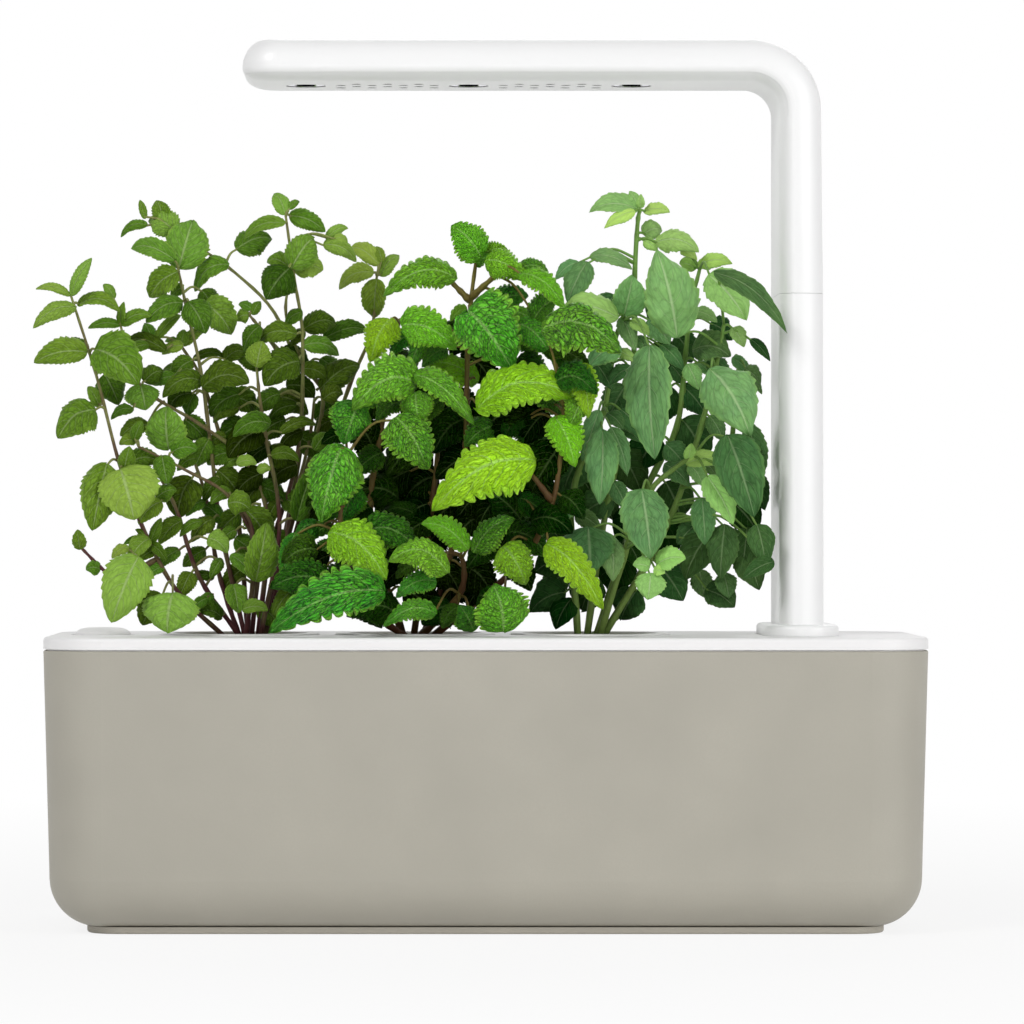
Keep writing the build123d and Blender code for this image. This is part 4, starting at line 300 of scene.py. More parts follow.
WHITE = linear(246, 246, 246)
LAMP = {"roughness": 0.34, "grain": 0.12, "tint": 0.01, "Coat_Weight": 0.15}
FINISHES = {
    "water_tank": moulded_plastic("tank_plastic", linear(176, 172, 160), 0.55, grain=0.35),
    # The base's beige-grey is made lighter than its own colour, painted light that stands in for the floor's
    # bounce under the tank
    "base_plate": moulded_plastic("base_plastic", linear(190, 185, 173), 0.62),
    "top_tray float_indicator": moulded_plastic("tray_plastic", linear(244, 243, 243), 0.5, tint=0.01),
    "plant_cup_1 plant_cup_2 plant_cup_3":
        moulded_plastic("cup_plastic", linear(240, 239, 238), 0.48, tint=0.015),
    "extension_arm lamp_upper_shell lamp_base power_button": moulded_plastic("lamp_plastic", WHITE, **LAMP),
    "lamp_lower_cover": moulded_plastic("lamp_cover_plastic", WHITE, holes=True, **LAMP),
    "lamp_base_cover arm_plug arm_socket lamp_plug dc_jack tact_switch":
        moulded_plastic("inner_plastic", linear(58, 58, 60), 0.5),
    "pod_basket_1 pod_basket_2 pod_basket_3": moulded_plastic("pod_plastic", linear(226, 223, 216), 0.6),
    "float_buoy": fibrous("buoy_foam", linear(214, 211, 202), linear(238, 236, 228), 900.0, 0.0002),
    "wick_1 wick_2 wick_3":
        fibrous("wick_felt", linear(196, 190, 172), linear(228, 224, 210), 1200.0, 0.0003),
    "controller_board": circuit("circuit_board", linear(16, 78, 44), linear(120, 150, 70)),
    "led_board": circuit("led_board_white", linear(238, 238, 234), linear(214, 210, 196)),
    "led_reflectors": metal("reflector_chrome", linear(244, 244, 248), 0.14),
    "led_emitters": led_lens("led_lens"),
    "heat_spreader": metal("spreader_anodised", linear(64, 64, 68), 0.5, brushed=(0.05, 1.0, 1.0)),
    "base_contacts arm_contacts": metal("contact_brass", linear(222, 190, 110), 0.25),
    "base_screws board_screws": metal("screw_steel", linear(180, 180, 184), 0.3),
    "arm_harness lamp_harness": moulded_plastic("wire_sheath", linear(40, 40, 42), 0.45),
}
for names, finish in FINISHES.items():
    for name in names.split():
        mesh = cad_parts[name].data
        mesh.materials.clear()
        mesh.materials.append(finish)


# ---- Mesh helpers


def put(name, data):
    """A new object in the scene."""
    made = bpy.data.objects.new(name, data)
    bpy.context.scene.collection.objects.link(made)
    return made


class Mass:
    """Vertices, faces, per-point numbers and blade coordinates of one mesh in the making."""

    def __init__(self):
        self.points, self.faces, self.uv = [], [], []
        self.numbers = {"tone": [], "hue": [], "under": []}
        self.count = 0

    def add(self, points, faces, uv, tone, hue=0.5, under=0.0):
        """Adds points (n, 3) in mm with their faces and numbers."""
        size = len(points)
        self.points.append(points)
        self.faces += [tuple(i + self.count for i in face) for face in faces]
        self.uv.append(uv)
        for key, value in (("tone", tone), ("hue", hue), ("under", under)):
            self.numbers[key].append(np.broadcast_to(value, size))
        self.count += size

    def piece(self, name, material, body, replaced, slot):
        """Turns the mass into a smooth-shaded object that stands for a CAD node."""
        mesh = bpy.data.meshes.new(name)
        points = np.concatenate(self.points) * MM
        mesh.from_pydata(points.tolist(), [], self.faces)
        blade = mesh.uv_layers.new(name="blade")
        corners = np.zeros(len(mesh.loops), dtype=np.int32)
        mesh.loops.foreach_get("vertex_index", corners)
        blade.data.foreach_set("uv", np.concatenate(self.uv)[corners].astype(np.float32).ravel())
        for key, values in self.numbers.items():
            layer = mesh.attributes.new(key, "FLOAT", "POINT")
            layer.data.foreach_set("value", np.concatenate(values).astype(np.float32))
        mesh.shade_smooth()
        mesh.materials.append(material)
        mesh.update()
        piece = put(name, mesh)
        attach(piece, body)
        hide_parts(replaced)


def grid(first, second):
    """Rows of two coordinates, for each of the first with each of the second."""
    return np.stack(np.meshgrid(first, second, indexing="ij"), axis=-1).reshape(-1, 2)


def unit(vectors):
    """Vectors of length 1, from one vector or from rows of them."""
    return vectors / np.linalg.norm(vectors, axis=-1, keepdims=True)


def smooth_route(route, steps=6):
    """Points of a smooth curve through a route's points."""
    points = np.array(route, float)
    padded = np.vstack([2 * points[0] - points[1], points, 2 * points[-1] - points[-2]])
    curve = []
    for a, b, c, d in zip(padded, padded[1:], padded[2:], padded[3:]):
        for i in range(steps):
            t = i / steps
            curve.append(0.5 * (2 * b + (c - a) * t + (2 * a - 5 * b + 4 * c - d) * t * t
                                + (3 * b - a - 3 * c + d) * t ** 3))
    curve.append(points[-1])
    return np.array(curve)


def tube(mass, curve, radii, tones, sides=8, square=0.0):
    """Tube along a curve with flat closed ends, round or slightly four-sided."""
    tangents = unit(np.gradient(curve, axis=0))
    normal = np.cross(tangents[0], (0.3, 1.0, 0.1))
    turn = np.arange(sides) / sides
    angles = 2 * math.pi * turn[:, None]
    outline = 1 + square * np.cos(4 * angles)
    rings = []
    for centre, tangent, radius in zip(curve, tangents, radii):
        normal = unit(normal - tangent * normal.dot(tangent))
        other = np.cross(tangent, normal)
        rings.append(centre + radius * outline * (np.cos(angles) * normal + np.sin(angles) * other))
    faces = []
    for i in range(len(curve) - 1):
        for k in range(sides):
            a, b = i * sides + k, i * sides + (k + 1) % sides
            faces.append((a, b, b + sides, a + sides))
    faces.append(tuple(range(sides))[::-1])
    last = (len(curve) - 1) * sides
    faces.append(tuple(range(last, last + sides)))
    steps = np.arange(len(curve)) / len(curve)
    mass.add(np.vstack(rings), faces, grid(steps, turn), np.repeat(tones, sides))


# ---- Plants, in mm. Two upright planes, slanted as seen from above, keep them apart.

LEFT_SPLIT_X = -52.0
RIGHT_SPLIT_X = 10.0
SPLIT_SLOPE = 0.8
PLANT_GAP = 0.5
# Stems start at the top of the pods and swell at their knots
POD_TOP = 100.0
KNOTS, KNOT_SWELL = 9, 0.28
# A leaf farther than this from its stem has a stalk, which rises by a share of the gap
STALK_REACH = 1.0
STALK_RISE = 0.18
STALK_RADII = (0.55, 0.38)
# A leaf leans in depth by a share of its length, its widest half is a share of the width in its
# row, and a small one has few teeth and mesh columns
LEAF_LEAN = 0.25
HALF_WIDTH = 0.58
LEAF_SKIN = 0.25
SMALL_LEAF = 9.0
SMALL_TEETH, SMALL_COLUMNS = 5, 8
TOOTH_ROWS = 5


def left_depth(x, half_width, y):
    """Depth of a point of the left plant, moved behind the left splitting plane."""
    return max(y, (x + half_width + PLANT_GAP - LEFT_SPLIT_X) / SPLIT_SLOPE)


def middle_depth(x, half_width, y):
    """Depth of a point of the middle plant, moved in front of both splitting planes."""
    reach = half_width + PLANT_GAP
    return min(y, (x - reach - LEFT_SPLIT_X) / SPLIT_SLOPE, (RIGHT_SPLIT_X - x - reach) / SPLIT_SLOPE)


def right_depth(x, half_width, y):
    """Depth of a point of the right plant, moved behind the right splitting plane."""
    return max(y, (RIGHT_SPLIT_X - x + half_width + PLANT_GAP) / SPLIT_SLOPE)


# A stem is a route of points (x, y, z)
LEFT_STEMS = [
    [(-90, 0, 100), (-108, -12, 118), (-120, -16, 141), (-128, -14, 163), (-136, -10, 193), (-145, -8, 221)],
    [(-82, 0, 100), (-80, -4, 130), (-89, -8, 150), (-105, -10, 160), (-121, -12, 168)],
    [(-80, 3, 100), (-76, 4, 140), (-84, 3, 163), (-100, 2, 176), (-121, -2, 190), (-128, -2, 211)],
    [(-84, 2, 100), (-93, 4, 140), (-96, 5, 165), (-100, 6, 195), (-105, 6, 217), (-108, 6, 231)],
    [(-83, 5, 100), (-88, 8, 150), (-99, 8, 190), (-107, 8, 204)],
    [(-78, 10, 100), (-70, 14, 140), (-64, 16, 180), (-72, 16, 212), (-88, 14, 230), (-109, 12, 244)],
    [(-80, 6, 100), (-76, 8, 130), (-66, 8, 165), (-64, 8, 205), (-67, 6, 228), (-70, 4, 250)],
    [(-78, 8, 100), (-66, 16, 150), (-57, 18, 184), (-64, 14, 198), (-70, 10, 215), (-68, 8, 231)],
    [(-80, 16, 100), (-62, 30, 150), (-48, 36, 190), (-40, 38, 210), (-38, 38, 230)],
    [(-84, -2, 100), (-81, -6, 125), (-82, -8, 141), (-88, -8, 149)],
    [(-79, -4, 100), (-72, -2, 140), (-77, -2, 172), (-79, -4, 186), (-80, -4, 196)],
    [(-71, 13, 200), (-78, 12, 209), (-83, 12, 215)],
    [(-114, -14, 129), (-128, -20, 122), (-133, -20, 125), (-141, -20, 133)],
    [(-86, 6, 100), (-94, 6, 125), (-98, 4, 150), (-104, 2, 168)],
    [(-80, 4, 100), (-74, 4, 120), (-68, 10, 146), (-62, 14, 170), (-60, 16, 186)],
    [(-85, 2, 100), (-100, -4, 122), (-108, -8, 146), (-114, -10, 158)],
    [(-78, 12, 100), (-70, 14, 125), (-64, 16, 150), (-58, 20, 178)],
]
# A leaf row: base x and z, tip x and z, width, depth y of the base, tone from 0 dark to 1 light, which is
# partly the leaf's own green and partly painted shade on leaves deep in the plant and painted light on lit
# ones
LEFT_LEAVES = [
    (-145, 221, -138, 234, 4.5, -8, .85), (-145, 221, -157, 223.5, 3, -8, .8),
    (-143, 217, -158, 210, 6, -10, .7), (-143, 218, -128, 216, 5.5, -4, .55),
    (-139, 201, -157, 197.5, 8.5, -14, .5), (-140, 201, -148, 205, 6, 2, .3),
    (-136, 202, -121, 190, 15, -14, .45), (-136, 181, -149, 171, 14, -14, .48),
    (-134, 194, -129, 183, 10, 4, .25), (-132, 162, -136.5, 139, 13, -18, .5),
    (-127, 160, -122, 143, 19, -22, .85), (-126, 161, -114, 163, 8, -6, .3),
    (-126, 159, -124, 168, 5.5, -16, .5), (-123, 170, -120, 177, 4, -8, .45),
    (-120, 130, -129, 107, 15, -34, .85), (-108, 117, -110, 103.5, 18, -36, .8),
    (-112, 116, -119, 106, 10, -26, .25), (-117, 134, -126, 134, 3, -15, .35),
    (-117, 134, -113, 143, 3.5, -15, .35), (-117, 134, -111, 128, 3.5, -15, .35),
    (-117, 134, -122, 139, 2.5, -15, .35), (-141, 132, -142, 139, 4.5, -20, .45),
    (-134, 125, -139, 125, 5, -20, .45), (-109, 244, -119, 249, 10, 12, .65),
    (-113, 247, -116, 256, 6, 14, .4), (-119, 247, -129, 243, 3.5, 12, .5),
    (-120, 249, -122, 256, 2.5, 12, .5), (-90, 233, -103, 224, 7, 10, .45),
    (-88, 238.5, -75, 243, 9.5, 16, .4), (-108, 231, -103, 249, 14, 8, .65),
    (-109, 234, -125, 238.5, 6.5, 4, .6), (-108, 230, -118, 221, 9.5, 2, .45),
    (-106, 219, -119, 212, 8, 0, .4), (-104, 219, -98, 208, 10, -2, .35), (-99, 219, -89, 208, 10.5, 8, .55),
    (-116, 206, -107, 215, 3.5, 4, .5), (-117, 205, -120, 212, 5, 4, .4),
    (-128, 211, -139, 210, 3.5, -2, .45), (-128, 211, -117, 214, 4.5, -2, .5),
    (-128, 211, -127, 219, 3, -2, .5), (-107, 204, -106, 210, 4, 8, .5), (-107, 204, -113, 206, 3, 8, .55),
    (-107, 204, -99, 210, 4.5, 10, .4), (-103, 199, -110, 192, 6.5, 6, .35),
    (-103, 199, -91, 200, 3.5, 10, .2), (-99, 189, -83, 191, 10.5, -4, .2), (-99, 191, -113, 186, 7.5, 0, .3),
    (-102, 187, -105, 179, 5.5, 4, .3), (-83, 215, -88, 213, 5, 12, .55), (-82, 215, -79, 220, 3.5, 12, .4),
    (-70, 250, -74, 258, 5.5, 4, .8), (-69, 252, -65, 255, 2.5, 4, .5), (-70, 247, -85, 242, 4.5, 2, .5),
    (-69, 250, -56, 244.5, 6.5, 8, .45), (-68, 231, -60, 242, 10.5, 2, .6), (-67, 230, -57, 231, 9.5, 8, .9),
    (-69, 232, -77, 234, 6, 8, .55), (-68.5, 231, -76.5, 220, 12, -2, .2), (-57, 240, -45, 234, 5.5, 12, .75),
    (-56, 242, -48, 246, 3.5, 14, .8), (-37, 234, -48, 240.5, 6, 38, .85), (-37, 230, -30, 238, 5.5, 40, .8),
    (-39, 231, -52, 225.5, 6.5, 34, .7), (-38, 229, -39, 215, 8, 36, .6), (-64, 210, -52, 212, 8, 14, .3),
    (-57, 207, -41, 210, 6, 22, .3), (-64, 204, -51, 201, 6.5, 8, .5), (-66, 208, -80, 205, 7, 6, .3),
    (-79, 211, -85, 202, 6.5, 4, .35), (-65, 198, -77, 190, 12, -4, .25), (-64, 196, -56, 193, 6, 12, .3),
    (-58, 189, -44, 198, 9, 16, .25), (-57, 185, -50, 187, 7, 10, .3), (-80, 196, -78, 205, 8, -6, .6),
    (-121, 190, -119, 181, 11, -2, .55), (-120, 191, -113, 195, 7, 2, .3), (-112, 202, -127, 205, 5, 2, .25),
    (-111, 167, -112, 182, 13, -2, .55), (-123, 181, -131, 178, 4, -6, .3),
    (-113, 165, -111, 155, 7, -12, .35), (-115, 150, -108, 153, 6, -12, .4),
    (-103, 157, -108, 143, 12, -2, .15), (-99, 142, -107, 137, 4, -6, .4),
    (-97, 136, -90, 131, 6.5, -10, .75), (-92, 108, -100, 110, 6, -4, .25), (-88, 120, -86, 110, 7, -12, .55),
    (-85, 111, -76, 111, 4.5, -14, .55), (-80, 121, -76, 141, 10.5, -16, .5),
    (-89, 130, -81, 122, 5, -14, .45), (-92, 129, -96, 122, 4, -8, .35), (-90, 148, -82, 146, 8.5, -12, .4),
    (-66, 142, -60, 161, 7, -6, .3), (-87, 162, -80, 162, 4, -8, .7), (-80, 160, -75, 160, 4, -8, .7),
    (-75, 176, -88, 172, 7, -6, .3), (-110, 166, -101, 167, 7, -4, .4), (-75, 165, -65, 163, 4.5, -4, .35),
    (-72, 173, -59, 176, 4, 2, .35), (-60, 167, -55, 173, 5, 4, .35), (-95, 122, -104, 121, 4, 0, .3),
    (-74, 186, -62, 180, 8, 10, .2), (-70, 178, -80, 170, 8, 8, .2), (-66, 172, -56, 164, 8, 14, .25),
    (-76, 168, -66, 158, 8, 6, .15), (-84, 176, -94, 170, 8, 6, .2), (-88, 166, -98, 162, 7, 4, .25),
    (-94, 160, -86, 150, 8, 4, .25), (-80, 154, -70, 148, 8, 4, .25), (-72, 150, -62, 142, 8, 8, .3),
    (-84, 146, -76, 134, 9, 2, .4), (-92, 142, -100, 148, 6, 2, .3), (-98, 132, -106, 126, 6, 0, .3),
    (-88, 136, -80, 128, 7, 6, .35), (-76, 138, -68, 128, 8, 6, .3), (-72, 124, -64, 114, 8, 8, .3),
    (-80, 112, -72, 104, 7, 4, .35), (-92, 199, -84, 202, 6, 12, .3), (-90, 186, -80, 180, 8, 10, .2),
    (-100, 175, -108, 170, 6, 8, .25), (-72, 202, -62, 194, 8, 14, .2), (-58, 200, -50, 190, 8, 20, .25),
    (-60, 178, -50, 182, 7, 22, .25), (-104, 190, -114, 196, 6, 8, .35), (-100, 224, -95, 215, 7, 12, .3),
    (-106, 178, -98, 170, 7, 6, .25), (-118, 176, -128, 172, 6, 0, .35), (-66, 156, -58, 150, 6, 16, .3),
    (-70, 190, -60, 186, 8, 12, .15), (-78, 196, -88, 200, 7, 10, .2), (-84, 126, -92, 118, 6, 4, .3),
    (-78, 174, -90, 165, 11, 0, .08), (-86, 187, -97, 179, 8, 4, .2), (-66, 162, -76, 154, 8, 6, .1),
    (-78, 159, -88, 151, 8, 2, .05), (-113, 149, -121, 141, 7, -14, .5), (-103, 187, -112, 181, 7, 2, .15),
    (-72, 187, -81, 180, 7, 6, .25), (-86, 145, -94, 137, 7, 2, .25), (-95, 143, -103, 135, 6, -2, .3),
    (-117, 136, -124, 128, 6, -16, .6), (-97, 171, -102, 161, 7, 4, .35), (-103, 124, -107, 115, 6, -6, .4),
    (-106, 142, -114, 134, 6, -8, .35), (-78, 155, -85, 147, 6, 4, .12), (-73, 149, -77, 139, 5, 4, .15),
    (-75, 169, -84, 161, 6, 4, .1), (-64, 174, -73, 167, 6, 6, .1), (-67, 118, -74, 109, 6, -8, .3),
    (-97, 115, -103, 110, 4, -6, .4), (-93, 157, -99, 149, 5, 0, .2), (-58, 148, -64, 140, 6, 14, .15),
    (-66, 183, -76, 178, 5, 4, .2), (-86, 182, -96, 177, 5, 4, .25), (-107, 132, -114, 126, 5, -6, .35),
    (-64, 216, -71, 210, 5, 6, .4), (-53, 178, -60, 172, 6, 18, .2), (-106, 204, -114, 201, 4, 4, .6),
    (-118, 204, -125, 201, 4, 0, .3), (-135, 182, -139, 189, 4, -8, .5), (-89, 152, -96, 148, 4.5, -4, .35),
    (-109, 193, -117, 190, 4.5, 4, .35), (-98, 149, -105, 144, 4.5, -2, .3),
    (-87, 139, -93, 134, 4.5, -2, .35), (-124, 133, -130, 129, 4, -20, .7), (-95, 116, -101, 112, 4, -4, .35),
    (-130, 220, -134, 225, 3.5, -4, .55), (-106, 225, -111, 221, 4, 8, .4),
    (-122, 170, -128, 169, 4, -6, .55), (-101, 164, -108, 160, 4.5, 0, .3),
    (-115, 132, -121, 128, 4, -14, .4), (-112, 126, -118, 122, 4, -14, .4),
    (-82, 217, -87, 219, 3.5, 12, .55), (-63, 209, -69, 204, 4.5, 10, .25), (-91, 172, -98, 168, 4.5, 6, .3),
    (-85, 164, -92, 161, 4.5, 2, .35), (-36, 235, -38, 241, 3.5, 38, .6), (-53, 242, -48, 241, 3.5, 12, .85),
]
MIDDLE_STEMS = [
    [(-22, -2, 100), (-12, -8, 130), (-7, -12, 165), (-6, -12, 200), (-5, -12, 217), (-3, -12, 233)],
    [(-24, -4, 100), (-9, -18, 116), (-8, -22, 129), (-14, -23, 131)],
    [(-20, -2, 100), (10, -20, 125), (22, -34, 145), (26, -36, 165), (27, -36, 182)],
    [(-28, 0, 100), (-40, -4, 140), (-36, -6, 175), (-30, -6, 212)],
    [(-26, -6, 100), (-40, -22, 112), (-50, -30, 135), (-48, -26, 165)],
    [(-25, 2, 100), (-18, 0, 150), (-14, -4, 195)],
    [(-5, -12, 219), (-12, -13, 226)],
    [(-5, -12, 220), (4, -18, 228)],
    [(23, -35, 149), (16, -38, 158)],
]
MIDDLE_LEAVES = [
    (-1, 234, -11.5, 245, 11.5, -14, .8), (-1, 235, 8, 237, 5.5, -10, .75), (0, 233, 14, 226, 9.5, -20, .85),
    (12, 228, 28, 215, 7.5, -30, .75), (10, 228, 22, 229, 6.5, -18, .5), (-10, 227, -35, 221, 9.5, -14, .7),
    (2, 216, 15, 221, 9.5, -8, .3), (-6, 215, 9, 195, 20, -24, .5), (19, 207, 46, 200, 18, -48, .42),
    (17, 212, 25, 219, 8, -22, .35), (-33, 213, -40, 198, 11, -10, .95), (-29, 210, -10, 202, 12, -20, .85),
    (-16, 206, -7, 210, 7, -4, .1), (-24, 190, -46, 181, 14, -24, .6), (-24, 188, -36, 198, 9, -12, .25),
    (-24, 187, -23, 175, 10, -26, .58), (-25, 193, -4, 176, 8, -26, .6), (-2, 191, -20, 198, 9, -6, .8),
    (-3, 181, 31, 185, 15, -32, 1), (32, 196, 36, 178, 9, -36, .9), (-44, 183, -49, 169, 13, -22, .4),
    (-31, 178, -20, 160, 15, -30, .45), (17, 163, -18, 147, 18, -44, .95), (24, 178, 31, 161, 11, -36, 1),
    (0, 172, 20, 184, 14, -16, .08), (26, 168, 16, 152, 13, -26, .1), (14, 140, 0, 152, 11, -16, .15),
    (-50, 168, -57, 142, 17, -26, .55), (-44, 154, -50, 141, 9.5, -16, .35),
    (-54, 138, -34, 122, 15.5, -36, .85), (-42, 138, -23, 132, 12, -24, .3),
    (-57, 140, -67, 135, 8, -22, .35), (-66, 138, -71, 121, 6, -26, .4), (-54, 120, -74, 119, 12, -34, .2),
    (-35, 118, -74, 104, 14, -46, .5), (-30, 109.5, -48, 109, 11, -30, .12),
    (-17, 110, -35, 106, 6.5, -42, .5), (-17, 121, -31, 116, 7, -34, .45), (-13, 124, -33, 129, 11, -40, .65),
    (-6, 132, -22, 141, 7.5, -34, .75), (-4, 131, 9, 143, 9, -34, .45), (6, 133, 14, 120, 12, -38, .7),
    (8, 138, 22, 130, 12, -24, .2), (6, 104, 3, 120, 17, -48, .6), (-4, 104, -9, 113, 8.5, -40, .35),
    (-9, 112, -15, 105, 6, -30, .3), (21, 134, 40, 112, 10.5, -44, .92), (-20, 172, -34, 158, 14, 0, .08),
    (-26, 160, -40, 148, 13, 2, .1), (-16, 158, -30, 145, 14, 4, .05), (-8, 150, -20, 136, 14, 4, .08),
    (-2, 160, 10, 148, 14, 0, .1), (2, 152, 16, 142, 12, -6, .06), (-30, 150, -46, 152, 12, 0, .12),
    (-38, 165, -46, 178, 11, -4, .15), (-18, 190, -28, 178, 12, 2, .1), (-14, 185, -2, 172, 13, 2, .06),
    (-8, 200, 4, 188, 12, 0, .08), (10, 196, 22, 188, 12, -14, .12), (8, 160, 24, 152, 13, -12, .1),
    (-36, 132, -52, 126, 13, -8, .1), (-44, 124, -58, 112, 12, -14, .12), (-28, 134, -40, 118, 13, -2, .06),
    (-20, 128, -8, 116, 13, -4, .08), (-8, 126, 4, 114, 13, -10, .1), (-28, 118, -16, 107, 13, -8, .06),
    (-44, 116, -36, 105, 12, -18, .08), (-58, 124, -66, 110, 11, -28, .14), (-2, 116, 8, 107, 12, -18, .1),
    (9, 126, 16, 118, 9, -28, .14), (16, 142, 30, 138, 11, -34, .12), (26, 151, 34, 143, 9, -34, .15),
    (-12, 113, -22, 106, 11, -14, .08), (-50, 150, -62, 148, 10, -14, .16),
    (-58, 132, -70, 128, 10, -30, .18), (-34, 200, -24, 190, 11, -2, .2), (0, 208, -12, 200, 11, 0, .1),
    (24, 190, 38, 186, 10, -40, .2), (10, 211, 23, 200, 11, -20, .58), (2, 152, -10, 142, 13, -8, .05),
    (-6, 178, -18, 166, 12, -6, .08), (22, 180, 12, 168, 11, -12, .05), (-18, 207, -26, 196, 9, -10, .5),
    (-20, 148, -31, 139, 10, -2, .05), (18, 186, 28, 177, 9, -20, .35), (34, 187, 29, 174, 8, -34, .55),
    (-28, 186, -44, 181, 8, -8, .4), (8, 215, 18, 210, 6, -14, .5), (-36, 166, -46, 158, 8, -8, .25),
    (-52, 134, -60, 128, 6, -24, .4), (-4, 164, -17, 157, 11, -10, .1), (4, 175, -7, 168, 9, -18, .35),
    (13, 154, 24, 145, 9, -18, .15), (0, 144, -11, 135, 10, -10, .08), (-18, 142, -30, 134, 9, -4, .08),
    (5, 134, -6, 126, 9, -12, .1), (21, 201, 36, 195, 7.5, -24, .15), (-40, 147, -48, 140, 7, -14, .15),
    (9, 206, 18, 199, 6, -16, .3), (-26, 208, -33, 200, 6, -8, .4), (-13, 202, -22, 196, 6, -14, .4),
    (-28, 184, -38, 177, 7, -14, .3), (-15, 185, -22, 175, 6, -20, .3), (-24, 144, -34, 146, 6, -6, .1),
    (12, 176, 18, 166, 7, -22, .2), (-27, 124, -36, 118, 7, -16, .06), (-54, 130, -62, 124, 6, -26, .08),
    (-24, 126, -31, 122, 5, -20, .3), (-3, 231, 2, 235, 3.5, -12, .6), (-6, 216, -12, 212, 4, -12, .7),
    (23, 200, 31, 194, 6, -28, .3), (-53, 141, -60, 136, 5, -22, .3), (4, 137, 12, 133, 5, -20, .35),
    (-50, 146, -56, 142, 4.5, -20, .25), (-49, 172, -57, 169, 5, -14, .15), (-34, 186, -46, 176, 12, 2, .1),
    (-12, 182, -24, 172, 12, 8, .08), (-4, 174, -16, 163, 12, 6, .06), (14, 178, 6, 170, 9, -22, .1),
    (12, 150, 22, 142, 8, -24, .12), (6, 149, -2, 140, 10, -12, .08), (-24, 152, -38, 142, 12, 10, .06),
    (-18, 166, -32, 156, 12, 10, .08), (-12, 140, -22, 130, 12, 4, .06), (11, 140, 5, 132, 8, -20, .1),
    (-6, 120, -16, 110, 11, -2, .06), (2, 121, -6, 112, 9, -10, .08),
]
RIGHT_STEMS = [
    [(33, -2, 100), (31, 0, 150), (42, 0, 180), (46, -2, 205), (49, -4, 213)],
    [(36, 0, 100), (42, 4, 140), (52, 4, 190), (53, 0, 228), (54, -2, 247), (55, -2, 252)],
    [(39, 2, 100), (56, 6, 150), (68, 6, 175), (71, 4, 200), (73, 2, 218), (76, 0, 231)],
    [(41, 0, 100), (64, -4, 140), (76, -6, 175), (82, -8, 200), (84, -8, 211)],
    [(40, -3, 100), (52, -12, 140), (58, -16, 153), (67, -18, 161), (73, -18, 165)],
    [(37, 4, 100), (60, 14, 120), (84, 18, 150), (90, 18, 190), (91, 16, 200)],
]
